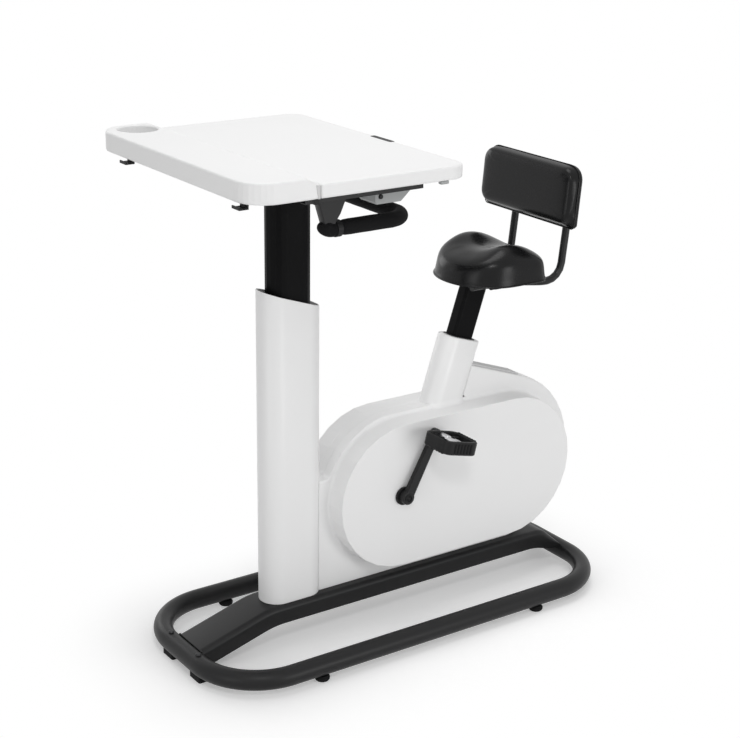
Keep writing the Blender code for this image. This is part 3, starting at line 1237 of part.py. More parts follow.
# Cranks, their bolts and pedal spindles
turn = math.radians(CRANK_TURN)
arm_vector = Vector((math.cos(turn), 0, math.sin(turn))) * CRANK_LEN
cranks = []
spindles = []
pedal_hubs = []
for side, sign in (("near", -1), ("far", 1)):
    swing = arm_vector * -sign
    eye = Vector(crank_at) + swing
    arm = plate("crank_arm_" + side, [hull(CRANK_X, CRANK_Z, CRANK_BOSS_R, eye.x, eye.z,
                CRANK_EYE_R, 8)], CRANK_T, BLACK_PAINT, SIDE,
                (0, sign * (CRANK_OUT - CRANK_T / 2), 0))
    soften(arm, 0.003, segments=1, angle=50)
    fuse(arm, disc("crank_boss_" + side, CRANK_BOSS_R, AXLE_SHOULDER + GAP,
                   CRANK_OUT - CRANK_T + 0.004, None, crank_at, (0, sign, 0), steps=20))
    taper = disc("crank_bore_" + side, AXLE_END_R + GAP, 0.05, CRANK_OUT + 0.01, None,
                 crank_at, (0, sign, 0), steps=20)
    thread = disc("spindle_bore_" + side, SPINDLE_R + GAP, 0.05, CRANK_OUT + 0.01, None,
                  eye, (0, sign, 0), steps=16)
    cut(arm, taper, thread)
    cranks.append(arm)
    spindles.append(turned("pedal_spindle_" + side, [
        (0, SPINDLE_OUT), (SPINDLE_R - 0.001, SPINDLE_OUT), (SPINDLE_R - 0.001, PEDAL_IN),
        (SPINDLE_R + 0.003, PEDAL_IN - RUN), (SPINDLE_R + 0.003, CRANK_OUT + GAP),
        (SPINDLE_R, CRANK_OUT + GAP), (SPINDLE_R, CRANK_OUT - CRANK_T + 0.001),
        (0, CRANK_OUT - CRANK_T + 0.001)], STEEL, eye, (0, sign, 0), steps=16))
    middle = PEDAL_IN + PEDAL_W / 2
    pedal_at = Vector((eye.x, sign * middle, eye.z))
    tilt = Matrix.Rotation(PEDAL_PITCH, 4, "Y")
    cage = plate("pedal_" + side, [round_rect(PEDAL_LEN / 2, PEDAL_W / 2, 0.012, 4)],
                 PEDAL_T, BLACK, tilt, pedal_at)
    soften(cage, 0.003, segments=1, angle=50)
    window_x = (PEDAL_LEN / 2 - PEDAL_RIM - PEDAL_BARREL_R) / 2
    for end in (-1, 1):
        offset = tilt @ Vector((end * (PEDAL_BARREL_R + window_x), 0, 0))
        hole = box("window" + side + str(end), (2 * window_x, PEDAL_W - 2 * PEDAL_RIM, 0.1),
                   pedal_at + offset, None, tilt)
        cut(cage, hole)
    spin = disc("spindle_room_" + side, SPINDLE_R - 0.001 + GAP, 0.05, SPINDLE_OUT + RUN,
                None, eye, (0, sign, 0), steps=16)
    cut(cage, spin)
    pedal_hubs.append(body("pedal_axis_" + side, pedal_at, cage))

# Pieces that move together
body("crank_axis", crank_at, crank_axle, drive_pulley, *cranks, *spindles, *pedal_hubs)
body("flywheel_axis", wheel_at, flywheel)
body("brake_axis", brake_at, brake_arm)
seat_lever_hub = body("seat_lever_axis", seat_lever_at, seat_lever)
body("seat_slide", (SEAT_REF_X, 0, SEAT_REF_Z), seat_post, clamp_plate, pan, saddle,
     back_frame, board, pad, seat_lever_hub)
desk_slide = body("desk_slide", (TOP_FRONT_X, 0, DESK_Z), desk_top, bumper, *runners)
lift_lever_hub = body("lift_lever_axis", lever_at, lift_lever)
button_hub = body("button_slide", (BUTTON_X, console_near, BUTTON_Z), button)
body("desk_lift", (COLUMN_X, 0, sleeve_high), lift_sleeve, spring_rod, desk_beam, desk_tray,
     handlebar, grip, console, catch, *lifted, desk_slide, lift_lever_hub, button_hub)
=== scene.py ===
"""Looks of the desk exercise bike: finishes, sewn seat covers, small trim and the studio."""
import json
import math

import bmesh
import bpy
from mathutils import Matrix, Vector


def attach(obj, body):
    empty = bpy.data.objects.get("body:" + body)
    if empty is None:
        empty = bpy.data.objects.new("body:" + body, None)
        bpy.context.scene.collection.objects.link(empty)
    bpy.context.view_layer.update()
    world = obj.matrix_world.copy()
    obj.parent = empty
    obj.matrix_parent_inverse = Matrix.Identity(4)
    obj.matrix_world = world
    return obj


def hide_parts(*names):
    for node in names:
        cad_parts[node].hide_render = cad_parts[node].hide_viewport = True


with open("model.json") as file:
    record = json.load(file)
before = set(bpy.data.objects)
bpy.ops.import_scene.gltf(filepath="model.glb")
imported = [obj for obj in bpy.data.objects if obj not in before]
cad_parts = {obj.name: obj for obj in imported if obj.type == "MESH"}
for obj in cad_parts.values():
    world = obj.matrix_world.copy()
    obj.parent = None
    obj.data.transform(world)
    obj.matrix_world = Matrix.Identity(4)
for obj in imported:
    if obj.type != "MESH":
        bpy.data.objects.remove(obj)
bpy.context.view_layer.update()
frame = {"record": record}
scene = bpy.context.scene

# Photograph: camera place and turn fitted to the base tube, column and desk edges
PHOTO_W = 740
FOCAL_PX = 1657.1
CAMERA_AT = (-2.1707, -3.0823, 1.9482)
CAMERA_RIGHT = Vector((0.8253, -0.5646, 0.0127))
CAMERA_UP = Vector((0.1756, 0.2780, 0.9444))


# Shader parts shared by the finishes

def new_group(name, inputs, outputs):
    """An empty shader group with named sockets; returns it with its two end nodes."""
    made = bpy.data.node_groups.new(name, "ShaderNodeTree")
    for kind, sockets in (("INPUT", inputs), ("OUTPUT", outputs)):
        for label, socket, value in sockets:
            item = made.interface.new_socket(label, in_out=kind, socket_type="NodeSocket" + socket)
            if value is not None:
                item.default_value = value
    return made, made.nodes.new("NodeGroupInput"), made.nodes.new("NodeGroupOutput")


def add(tree, kind, **values):
    """A node with its properties and its inputs' values set by name."""
    node = tree.nodes.new("ShaderNode" + kind)
    for key, value in values.items():
        label = key.replace("_", " ")
        if label in node.inputs:
            node.inputs[label].default_value = value
        else:
            setattr(node, key, value)
    return node


def math_node(tree, operation, first, second=None, clamp=False):
    node = add(tree, "Math", operation=operation, use_clamp=clamp)
    for slot, value in ((0, first), (1, second)):
        if value is None:
            continue
        if isinstance(value, (int, float)):
            node.inputs[slot].default_value = value
        else:
            tree.links.new(value, node.inputs[slot])
    return node.outputs[0]


def noise(tree, coords, scale, detail=3.0, rough=0.55):
    node = add(tree, "TexNoise", Detail=detail, Roughness=rough)
    tree.links.new(coords, node.inputs["Vector"])
    if isinstance(scale, (int, float)):
        node.inputs["Scale"].default_value = scale
    else:
        tree.links.new(scale, node.inputs["Scale"])
    return node.outputs["Fac"]


def tone_group():
    """Uneven tone: one colour drifts toward another in broad soft patches."""
    tree, low, high = new_group("uneven_tone",
                                [("Colour", "Color", (1, 1, 1, 1)), ("Second", "Color", (1, 1, 1, 1)),
                                 ("Scale", "Float", 6.0), ("Amount", "Float", 0.5)],
                                [("Colour", "Color", None)])
    coords = add(tree, "TexCoord").outputs["Object"]
    broad = noise(tree, coords, low.outputs["Scale"])
    mask = math_node(tree, "MULTIPLY", broad, low.outputs["Amount"], clamp=True)
    mix = add(tree, "Mix", data_type="RGBA")
    tree.links.new(mask, mix.inputs["Factor"])
    tree.links.new(low.outputs["Colour"], mix.inputs[6])
    tree.links.new(low.outputs["Second"], mix.inputs[7])
    tree.links.new(mix.outputs[2], high.inputs["Colour"])
    return tree


def gloss_group():
    """Roughness that changes a little where hands and cloths have polished it."""
    tree, low, high = new_group("handled_gloss",
                                [("Middle", "Float", 0.4), ("Spread", "Float", 0.1),
                                 ("Scale", "Float", 9.0)],
                                [("Roughness", "Float", None)])
    coords = add(tree, "TexCoord").outputs["Object"]
    value = noise(tree, coords, low.outputs["Scale"], detail=4.0)
    centred = math_node(tree, "SUBTRACT", value, 0.5)
    moved = math_node(tree, "MULTIPLY", centred, low.outputs["Spread"])
    total = math_node(tree, "ADD", moved, low.outputs["Middle"], clamp=True)
    tree.links.new(total, high.inputs["Roughness"])
    return tree


def grain_group():
    """Fine even grain: orange peel in paint, spark texture in moulded plastic."""
    tree, low, high = new_group("fine_grain", [("Scale", "Float", 900.0)],
                                [("Height", "Float", None)])
    coords = add(tree, "TexCoord").outputs["Object"]
    tree.links.new(noise(tree, coords, low.outputs["Scale"], detail=2.0), high.inputs["Height"])
    return tree


def hide_group():
    """Vinyl hide: small rounded pebbles with fine creases between them."""
    tree, low, high = new_group("vinyl_hide", [("Scale", "Float", 700.0)],
                                [("Height", "Float", None)])
    coords = add(tree, "TexCoord").outputs["Object"]
    wobble = add(tree, "TexNoise", Scale=260.0, Detail=2.0)
    tree.links.new(coords, wobble.inputs["Vector"])
    shift = add(tree, "VectorMath", operation="SCALE")
    tree.links.new(wobble.outputs["Color"], shift.inputs[0])
    shift.inputs["Scale"].default_value = 0.0012
    moved = add(tree, "VectorMath", operation="ADD")
    tree.links.new(coords, moved.inputs[0])
    tree.links.new(shift.outputs[0], moved.inputs[1])
    cells = add(tree, "TexVoronoi", feature="SMOOTH_F1")
    tree.links.new(moved.outputs[0], cells.inputs["Vector"])
    tree.links.new(low.outputs["Scale"], cells.inputs["Scale"])
    rounded = math_node(tree, "SUBTRACT", 1.0, cells.outputs["Distance"])
    tree.links.new(rounded, high.inputs["Height"])
    return tree


def edge_group():
    """Edges broken to a small radius, and a mask of where handling has rubbed them."""
    tree, low, high = new_group("rubbed_edge", [("Radius", "Float", 0.001), ("Wear", "Float", 0.5)],
                                [("Normal", "Vector", None), ("Mask", "Float", None)])
    rounded = add(tree, "Bevel", samples=6)
    tree.links.new(low.outputs["Radius"], rounded.inputs["Radius"])
    flat = add(tree, "NewGeometry")
    dot = add(tree, "VectorMath", operation="DOT_PRODUCT")
    tree.links.new(rounded.outputs["Normal"], dot.inputs[0])
    tree.links.new(flat.outputs["Normal"], dot.inputs[1])
    turned_away = math_node(tree, "SUBTRACT", 1.0, dot.outputs["Value"], clamp=True)
    steep = math_node(tree, "MULTIPLY", turned_away, 5.0, clamp=True)
    coords = add(tree, "TexCoord").outputs["Object"]
    patchy = math_node(tree, "SUBTRACT", noise(tree, coords, 45.0, detail=4.0), 0.38, clamp=True)
    broken = math_node(tree, "MULTIPLY", steep, math_node(tree, "MULTIPLY", patchy, 4.0, clamp=True))
    mask = math_node(tree, "MULTIPLY", broken, low.outputs["Wear"], clamp=True)
    tree.links.new(rounded.outputs["Normal"], high.inputs["Normal"])
    tree.links.new(mask, high.inputs["Mask"])
    return tree


TONE = tone_group()
GLOSS = gloss_group()
GRAIN = grain_group()
HIDE = hide_group()
EDGE = edge_group()


def use(tree, group, **values):
    """Place a shared group in a material with its own values."""
    node = tree.nodes.new("ShaderNodeGroup")
    node.node_tree = group
    for key, value in values.items():
        node.inputs[key].default_value = value
    return node


def finish(name, colour, second, worn, rough, spread=0.08, metal=0.0, grain=None, depth=0.0,
           coat=0.0, hide=False, patch=6.0, drift=0.5, specular=0.5, edge=0.001, wear=0.4):
    """A finish: uneven tone, handled gloss, rubbed edges and a fine relief on one shader."""
    made = bpy.data.materials.new(name)
    made.use_nodes = True
    tree = made.node_tree
    shader = tree.nodes["Principled BSDF"]
    shader.inputs["Metallic"].default_value = metal
    shader.inputs["Coat Weight"].default_value = coat
    shader.inputs["Coat Roughness"].default_value = 0.25
    shader.inputs["Specular IOR Level"].default_value = specular
    tone = use(tree, TONE, Colour=(*colour, 1), Second=(*second, 1), Scale=patch, Amount=drift)
    rubbed = use(tree, EDGE, Radius=edge, Wear=wear)
    mix = add(tree, "Mix", data_type="RGBA")
    tree.links.new(rubbed.outputs["Mask"], mix.inputs["Factor"])
    tree.links.new(tone.outputs["Colour"], mix.inputs[6])
    mix.inputs[7].default_value = (*worn, 1)
    tree.links.new(mix.outputs[2], shader.inputs["Base Color"])
    gloss = use(tree, GLOSS, Middle=rough, Spread=spread, Scale=9.0)
    tree.links.new(gloss.outputs["Roughness"], shader.inputs["Roughness"])
    height = use(tree, HIDE if hide else GRAIN, Scale=grain)
    bump = add(tree, "Bump", Strength=0.6, Distance=depth)
    tree.links.new(height.outputs["Height"], bump.inputs["Height"])
    tree.links.new(rubbed.outputs["Normal"], bump.inputs["Normal"])
    tree.links.new(bump.outputs["Normal"], shader.inputs["Normal"])
    return made


WHITE_PAINT = finish("white_column_paint", (0.88, 0.88, 0.88), (0.85, 0.85, 0.85),
                     (0.76, 0.76, 0.75), 0.38, grain=420.0, depth=0.00006, edge=0.0010)
WHITE_SHELL = finish("white_moulded_shell", (0.89, 0.89, 0.89), (0.86, 0.86, 0.86),
                     (0.80, 0.80, 0.79), 0.36, grain=700.0, depth=0.00003, coat=0.08, edge=0.0022)
DESK_TOP = finish("desk_top_laminate", (0.86, 0.86, 0.86), (0.83, 0.83, 0.83),
                  (0.78, 0.78, 0.77), 0.45, grain=1300.0, depth=0.00005, edge=0.0045)
BLACK_COAT = finish("black_powder_coat", (0.0095, 0.0095, 0.0100), (0.014, 0.014, 0.0145),
                    (0.050, 0.050, 0.050), 0.40, grain=800.0, depth=0.00010, specular=0.24,
                    edge=0.0014)
SLEEVE_COAT = finish("black_satin_sleeve", (0.0055, 0.0055, 0.0058), (0.008, 0.008, 0.0084),
                     (0.040, 0.040, 0.040), 0.36, grain=500.0, depth=0.00006, specular=0.04,
                     edge=0.0030)
BLACK_PLASTIC = finish("black_moulded_plastic", (0.0085, 0.0085, 0.0090), (0.013, 0.013, 0.0135),
                       (0.045, 0.045, 0.045), 0.46, grain=1100.0, depth=0.00008, specular=0.20)
RUBBER = finish("black_rubber_foot", (0.008, 0.008, 0.0085), (0.013, 0.013, 0.0135),
                (0.030, 0.030, 0.030), 0.75, grain=600.0, depth=0.00008, specular=0.15)
FOAM = finish("black_foam_grip", (0.0075, 0.0075, 0.0080), (0.012, 0.012, 0.0125),
              (0.022, 0.022, 0.022), 0.70, grain=1500.0, depth=0.00025, specular=0.06)
VINYL = finish("black_seat_vinyl", (0.0055, 0.0055, 0.0059), (0.008, 0.008, 0.0084),
               (0.018, 0.018, 0.018), 0.25, grain=650.0, depth=0.00015, hide=True,
               specular=0.19, edge=0.0006, wear=0.2)
GREY_PLASTIC = finish("grey_moulded_plastic", (0.36, 0.37, 0.37), (0.32, 0.33, 0.33),
                      (0.45, 0.45, 0.45), 0.46, grain=1000.0, depth=0.00005)
PALE_TRIM = finish("pale_grey_trim", (0.62, 0.62, 0.62), (0.56, 0.56, 0.56),
                   (0.70, 0.70, 0.70), 0.50, grain=900.0, depth=0.00005)
STEEL = finish("turned_steel", (0.56, 0.56, 0.57), (0.50, 0.50, 0.51), (0.62, 0.62, 0.63),
               0.30, metal=1.0, grain=500.0, depth=0.00003, edge=0.0005)
DARK_STEEL = finish("blackened_steel", (0.030, 0.030, 0.032), (0.045, 0.045, 0.047),
                    (0.12, 0.12, 0.12), 0.42, metal=0.8, grain=500.0, depth=0.00004)
IRON = finish("cast_iron_wheel", (0.11, 0.11, 0.12), (0.15, 0.14, 0.14), (0.22, 0.22, 0.22),
              0.55, metal=0.7, grain=300.0, depth=0.0002)

FINISHES = {
    "white_paint": WHITE_PAINT, "white_plastic": WHITE_SHELL, "desk_white": DESK_TOP,
    "black_paint": BLACK_COAT, "black_plastic": BLACK_PLASTIC, "black_rubber": RUBBER,
    "black_foam": FOAM, "black_vinyl": VINYL, "grey_plastic": GREY_PLASTIC,
    "bright_steel": STEEL, "cast_iron": IRON}
slot_of = {part["node"]: part["material_slot"] for part in frame["record"]["subparts"]}
SPECIAL = {"front_foot_bolt_near": DARK_STEEL, "front_foot_bolt_far": DARK_STEEL,
           "grip_collar_near": BLACK_PLASTIC, "grip_collar_far": BLACK_PLASTIC,
           "lift_sleeve": SLEEVE_COAT, "guide_post": SLEEVE_COAT, "seat_post": SLEEVE_COAT,
           "fin_strip": PALE_TRIM}
for node, slot in slot_of.items():
    slots = bpy.data.objects[node].material_slots
    dress = SPECIAL.get(node, FINISHES[slot])
    if not slots:
        bpy.data.objects[node].data.materials.append(dress)
    for held in bpy.data.objects[node].material_slots:
        held.material = dress


# Mesh helpers

# A turned piece's ends stop this far from its axis, so no face folds to a point
AXIS_GAP = 0.0002


def link(obj):
    scene.collection.objects.link(obj)
    return obj


def modify(obj, kind, **values):
    step = obj.modifiers.new(kind.lower(), kind)
    for key, value in values.items():
        setattr(step, key, value)
    return step


def bake(obj):
    """Apply all modifiers of a piece."""
    graph = bpy.context.evaluated_depsgraph_get()
    mesh = bpy.data.meshes.new_from_object(obj.evaluated_get(graph))
    obj.modifiers.clear()
    obj.data = mesh
    return obj


def loft(rings, closed=False, ends=True):
    """Points and faces of a skin through rings of equal count."""
    count = len(rings[0])
    points = [tuple(p) for ring in rings for p in ring]
    faces = []
    spans = len(rings) if closed else len(rings) - 1
    for i in range(spans):
        low, high = i * count, (i + 1) % len(rings) * count
        for j in range(count):
            k = (j + 1) % count
            faces.append((low + j, low + k, high + k, high + j))
    if ends and not closed:
        for first, flip in ((0, True), ((len(rings) - 1) * count, False)):
            middle = sum((Vector(points[first + j]) for j in range(count)), Vector()) / count
            points.append(tuple(middle))
            centre = len(points) - 1
            for j in range(count):
                k = (j + 1) % count
                edge = (first + k, first + j) if flip else (first + j, first + k)
                faces.append((*edge, centre))
    return points, faces


def join(*parts):
    """One set of points and faces from several."""
    points, faces = [], []
    for more, skin in parts:
        start = len(points)
        points += more
        faces += [tuple(i + start for i in face) for face in skin]
    return points, faces


def shift(part, matrix):
    points, faces = part
    return [tuple(matrix @ Vector(p)) for p in points], faces


def make(name, part, finish_of, sharp=35):
    """A mesh object with outward faces, smooth but for its real edges."""
    mesh = bpy.data.meshes.new(name)
    mesh.from_pydata(part[0], [], part[1])
    bm = bmesh.new()
    bm.from_mesh(mesh)
    bmesh.ops.recalc_face_normals(bm, faces=bm.faces)
    bm.to_mesh(mesh)
    bm.free()
    mesh.shade_smooth()
    mesh.set_sharp_from_angle(angle=math.radians(sharp))
    mesh.materials.append(finish_of)
    return link(bpy.data.objects.new(name, mesh))


def fit(obj, body, slot, *nodes):
    """Hang a piece on its body and hide the nodes it stands for; the slot is not used."""
    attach(obj, body)
    if nodes:
        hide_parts(*nodes)
    return obj


def arc(cx, cy, radius, first, last, count):
    """Points on an arc from one angle to another, in degrees, ends included."""
    turns = [math.radians(first + (last - first) * i / count) for i in range(count + 1)]
    return [(cx + radius * math.cos(t), cy + radius * math.sin(t)) for t in turns]


def obround(length, width, count=24, x=0.0):
    """A round-ended outline from above."""
    reach = (length - width) / 2
    return (arc(x + reach, 0, width / 2, -90, 90, count)
            + arc(x - reach, 0, width / 2, 90, 270, count))


def corner_box(hx, hy, radius, count=6):
    """A rectangle with rounded corners."""
    spots = ((hx - radius, hy - radius, 0), (radius - hx, hy - radius, 90),
             (radius - hx, radius - hy, 180), (hx - radius, radius - hy, 270))
    return [p for cx, cy, start in spots for p in arc(cx, cy, radius, start, start + 90, count)]


def turns(count):
    """Even steps once round, in radians."""
    return [2 * math.pi * i / count for i in range(count)]


def swept(path, radius, sides=24, closed=False):
    """A round bar along a level path; the radius may be a list, one for each point."""
    rings = []
    total = len(path)
    for i, spot in enumerate(path):
        before = path[i - 1] if closed or i else spot
        after = path[(i + 1) % total] if closed or i + 1 < total else spot
        along = (Vector(after) - Vector(before)).normalized()
        side = along.cross(Vector((0, 0, 1))).normalized()
        up = side.cross(along)
        size = radius[i] if isinstance(radius, list) else radius
        rings.append([tuple(Vector(spot) + size * (math.cos(t) * side + math.sin(t) * up))
                      for t in turns(sides)])
    return loft(rings, closed=closed)


def lathe(profile, at, axis, steps=40, closed=False):
    """A turned piece: distances from the axis and heights along it; closed for a ring."""
    turn = Vector(axis).to_track_quat("Z", "Y").to_matrix().to_4x4()
    rings = [[(r * math.cos(t), r * math.sin(t), h) for t in turns(steps)] for r, h in profile]
    return shift(loft(rings, closed=closed), Matrix.Translation(at) @ turn)


def upright(y, across=-1):
    """Stand a flat outline up along X and Z, with its thickness along Y."""
    return Matrix(((1, 0, 0, 0), (0, 0, across, y), (0, 1, 0, 0), (0, 0, 0, 1)))


def level_ring(outline, grow, z):
    """A flat outline at a height, let out from its middle or drawn in."""
    cx = sum(p[0] for p in outline) / len(outline)
    cy = sum(p[1] for p in outline) / len(outline)
    out = []
    for x, y in outline:
        away = Vector((x - cx, y - cy))
        spot = away + away.normalized() * grow
        out.append((cx + spot.x, cy + spot.y, z))
    return out


def framed(outer, inner, low, high, edge):
    """A slab with a window, its edges chamfered; outlines have equal counts."""
    rings = [level_ring(outer, 0, low + edge), level_ring(outer, 0, high - edge),
             level_ring(outer, -edge, high), level_ring(inner, edge, high),
             level_ring(inner, 0, high - edge), level_ring(inner, 0, low + edge),
             level_ring(inner, edge, low), level_ring(outer, -edge, low)]
    return loft(rings, closed=True)


def slab(outline, low, high, edge=0.0008):
    """A plate with broken edges from a flat outline."""
    return loft([level_ring(outline, -edge, low), level_ring(outline, 0, low + edge),
                 level_ring(outline, 0, high - edge), level_ring(outline, -edge, high)])


def block(size, at, edge=0.0006):
    """A small block with chamfered edges."""
    hx, hy, hz = (s / 2 for s in size)
    part = slab([(hx, hy), (-hx, hy), (-hx, -hy), (hx, -hy)], -hz, hz, edge)
    return shift(part, Matrix.Translation(at))


# Base: one bent tube, and a folded channel welded over it

TUBE_Z = 0.03675
TUBE_R = 0.02375
LOOP_X = 0.559
LOOP_Y = 0.226
LOOP_BEND = 0.157

loop_path = []
for cx, cy, start in ((LOOP_X - LOOP_BEND, LOOP_Y - LOOP_BEND, 0),
                      (LOOP_BEND - LOOP_X, LOOP_Y - LOOP_BEND, 90),
                      (LOOP_BEND - LOOP_X, LOOP_BEND - LOOP_Y, 180),
                      (LOOP_X - LOOP_BEND, LOOP_BEND - LOOP_Y, 270)):
    loop_path += [(x, y, TUBE_Z) for x, y in arc(cx, cy, LOOP_BEND, start, start + 90, 24)]
fit(make("bent_base_tube", swept(loop_path, TUBE_R, 40, closed=True), BLACK_COAT),
    "frame", "black_paint", "base_loop")

SPINE_HALF = 0.056
SPINE_WALL = 0.004
SPINE_SHOULDER = 0.0135
RAMP_BEND = 0.030
REAR_RAMP_BEND = 0.022


def knee(before, corner, after, reach, count=8):
    """A soft fold in a side line."""
    start = Vector(corner) + (Vector(before) - Vector(corner)).normalized() * reach
    end = Vector(corner) + (Vector(after) - Vector(corner)).normalized() * reach
    out = []
    for i in range(count + 1):
        t = i / count
        out.append((1 - t) ** 2 * start + 2 * t * (1 - t) * Vector(corner) + t * t * end)
    return out


top_line = [(-0.544, 0.0595), (-0.357, 0.1135), (0.485, 0.1135), (0.544, 0.0595)]
low_line = [(-0.516, 0.02075), (-0.345, 0.069), (0.455, 0.069), (0.514, 0.0515)]
stations = [(Vector(top_line[0]), Vector((-0.548, 0.02075))),
            (Vector((-0.516, 0.0676)), Vector(low_line[0]))]
for spot, reach in ((1, RAMP_BEND), (2, REAR_RAMP_BEND)):
    stations += zip(knee(*top_line[spot - 1:spot + 2], reach),
                    knee(*low_line[spot - 1:spot + 2], reach))
stations += [(Vector((0.514, 0.0870)), Vector(low_line[3])),
             (Vector(top_line[3]), Vector((0.546, 0.0515)))]


def channel_ring(top, low):
    """One cross section of the channel: outer skin, then the inner one back."""
    down = (low - top).normalized()
    depth = (low - top).length
    ring = []
    for half, drop, radius in ((SPINE_HALF, 0.0, SPINE_SHOULDER),
                               (SPINE_HALF - SPINE_WALL, SPINE_WALL, SPINE_SHOULDER - SPINE_WALL)):
        size = min(radius, 0.45 * (depth - drop))
        side = [(-half, depth)]
        side += [(-(half - size + size * math.cos(t)), drop + size - size * math.sin(t))
                 for t in (math.pi / 2 * i / 8 for i in range(9))]
        side = side + [(-y, d) for y, d in reversed(side)]
        if drop:
            side.reverse()
        ring += [(top.x + down.x * d, y, top.y + down.y * d) for y, d in side]
    return ring


rings = [channel_ring(top, low) for top, low in stations]
count = len(rings[0])
spine_skin = loft(rings, ends=False)
for first in (0, (len(rings) - 1) * count):
    for j in range(count // 2 - 1):
        spine_skin[1].append((first + j, first + j + 1,
                              first + count - 2 - j, first + count - 1 - j))
fit(make("folded_spine", spine_skin, BLACK_COAT), "frame", "black_paint", "spine_beam")

WELD_X = 0.5425
WELD_Z = 0.0570
WELD_HALF_Y = 0.054
WELD_STEP = 0.0018
WELD_POINTS = 61
WELD_R = 0.0022
for where, x in (("front", -WELD_X), ("rear", WELD_X)):
    path = [(x, -WELD_HALF_Y + WELD_STEP * i, WELD_Z) for i in range(WELD_POINTS)]
    sizes = [WELD_R + 0.0005 * math.sin(1.9 * i) for i in range(WELD_POINTS)]
    fit(make("weld_bead_" + where, swept(path, sizes, 10), BLACK_COAT, 60),
        "frame", "black_paint")

FOOT_X = 0.321
KNURL_R = 0.0150
KNURL_ROOT = 0.0168
KNURL_TIP = 0.0180
KNURL_LOW = 0.0035
KNURL_HIGH = 0.0095
KNURL_TEETH = 64
FOOT_SPOTS = {"front_near": (-FOOT_X, -LOOP_Y), "front_far": (-FOOT_X, LOOP_Y),
              "rear_near": (FOOT_X, -LOOP_Y), "rear_far": (FOOT_X, LOOP_Y)}
for spot, (x, y) in FOOT_SPOTS.items():
    reaches = [KNURL_ROOT if i % 2 else KNURL_TIP for i in range(KNURL_TEETH)]
    teeth = [(r * math.cos(t), r * math.sin(t)) for r, t in zip(reaches, turns(KNURL_TEETH))]
    inside = [(KNURL_R * math.cos(t), KNURL_R * math.sin(t)) for t in turns(KNURL_TEETH)]
    knob = shift(framed(teeth, inside, KNURL_LOW, KNURL_HIGH, 0.0004),
                 Matrix.Translation((x, y, 0)))
    fit(make("foot_knurl_" + spot, knob, RUBBER, 20), "foot_" + spot, "black_rubber")


# Column: shroud with a slanted mouth, and the wiper that closes it round the sleeve

COLUMN_X = -0.2727
SHROUD_LEN = 0.1554
SHROUD_W = 0.088
SHROUD_FRONT = COLUMN_X - SHROUD_LEN / 2
SHROUD_FOOT_Z = 0.1137
SHROUD_LIP_Z = 0.889
SHROUD_SLOPE = 0.35


def mouth(x, under=0.0):
    """Height of the slanted mouth at a place along the column, or a little under it."""
    return SHROUD_LIP_Z - SHROUD_SLOPE * (x - SHROUD_FRONT) - under


def shroud_ring(inset, under):
    """A ring of the shroud under its mouth, or at its foot where that is None."""
    flat = obround(SHROUD_LEN - 2 * inset, SHROUD_W - 2 * inset, 28, COLUMN_X)
    if under is None:
        return [(x, y, SHROUD_FOOT_Z) for x, y in flat]
    return [(x, y, mouth(x, under)) for x, y in flat]


shroud = loft([shroud_ring(0.0, None), shroud_ring(0.0, 0.0012), shroud_ring(0.0005, 0.0003),
               shroud_ring(0.0012, 0.0), shroud_ring(0.0020, 0.0003), shroud_ring(0.0025, 0.0012),
               shroud_ring(0.0025, None)], closed=True)
fit(make("column_cover", shroud, WHITE_PAINT), "frame", "white_paint", "column_shroud")

SLEEVE_LEN = 0.1104
SLEEVE_W = 0.068
WIPER_OUT = 0.0056
WIPER_IN = 0.0012


def wiper_ring(share, under):
    """A ring of the wiper, between the shroud's inside and the sleeve."""
    outer = obround(SHROUD_LEN - WIPER_OUT, SHROUD_W - WIPER_OUT, 28, COLUMN_X)
    inner = obround(SLEEVE_LEN + WIPER_IN, SLEEVE_W + WIPER_IN, 28, COLUMN_X)
    spots = [(a[0] + share * (b[0] - a[0]), a[1] + share * (b[1] - a[1]))
             for a, b in zip(outer, inner)]
    return [(x, y, mouth(x, under)) for x, y in spots]


wiper = loft([wiper_ring(0, 0.014), wiper_ring(0, 0.009), wiper_ring(0.75, 0.009),
              wiper_ring(0.90, 0.0065), wiper_ring(1.0, 0.0065), wiper_ring(1.0, 0.014)],
             closed=True)
fit(make("column_wiper", wiper, RUBBER), "frame", "black_rubber")


# Seat neck: the fairing with its fillet down to the housing

SEAT_SLOPE = 0.325
SEAT_LEAN = math.atan(SEAT_SLOPE)
SEAT_REF = Vector((0.223, 0, 0.6816))
SEAT_TURN = Matrix.Rotation(SEAT_LEAN, 4, "Y")
NECK_LEN = 0.1135
NECK_W = 0.070
NECK_FOOT_Z = 0.5205
NECK_FILLET = 0.013

axis_up = SEAT_TURN @ Vector((0, 0, 1))


def neck_ring(inset, below):
    """A ring square to the seat tube, a little below the mouth."""
    flat = obround(NECK_LEN - 2 * inset, NECK_W - 2 * inset, 28)
    return [tuple(SEAT_REF + SEAT_TURN @ Vector((x, y, -below))) for x, y in flat]


def neck_foot(grow, z):
    """A level ring near the housing, spread outward."""
    flat = obround(NECK_LEN, NECK_W, 28)
    out = []
    for x, y in flat:
        spot = SEAT_REF + SEAT_TURN @ Vector((x, y, 0))
        spot -= axis_up * ((spot.z - z) / axis_up.z)
        middle = Vector((SEAT_REF.x + SEAT_SLOPE * (z - SEAT_REF.z), 0, z))
        away = (spot - middle).normalized()
        out.append(tuple(spot + away * grow))
    return out


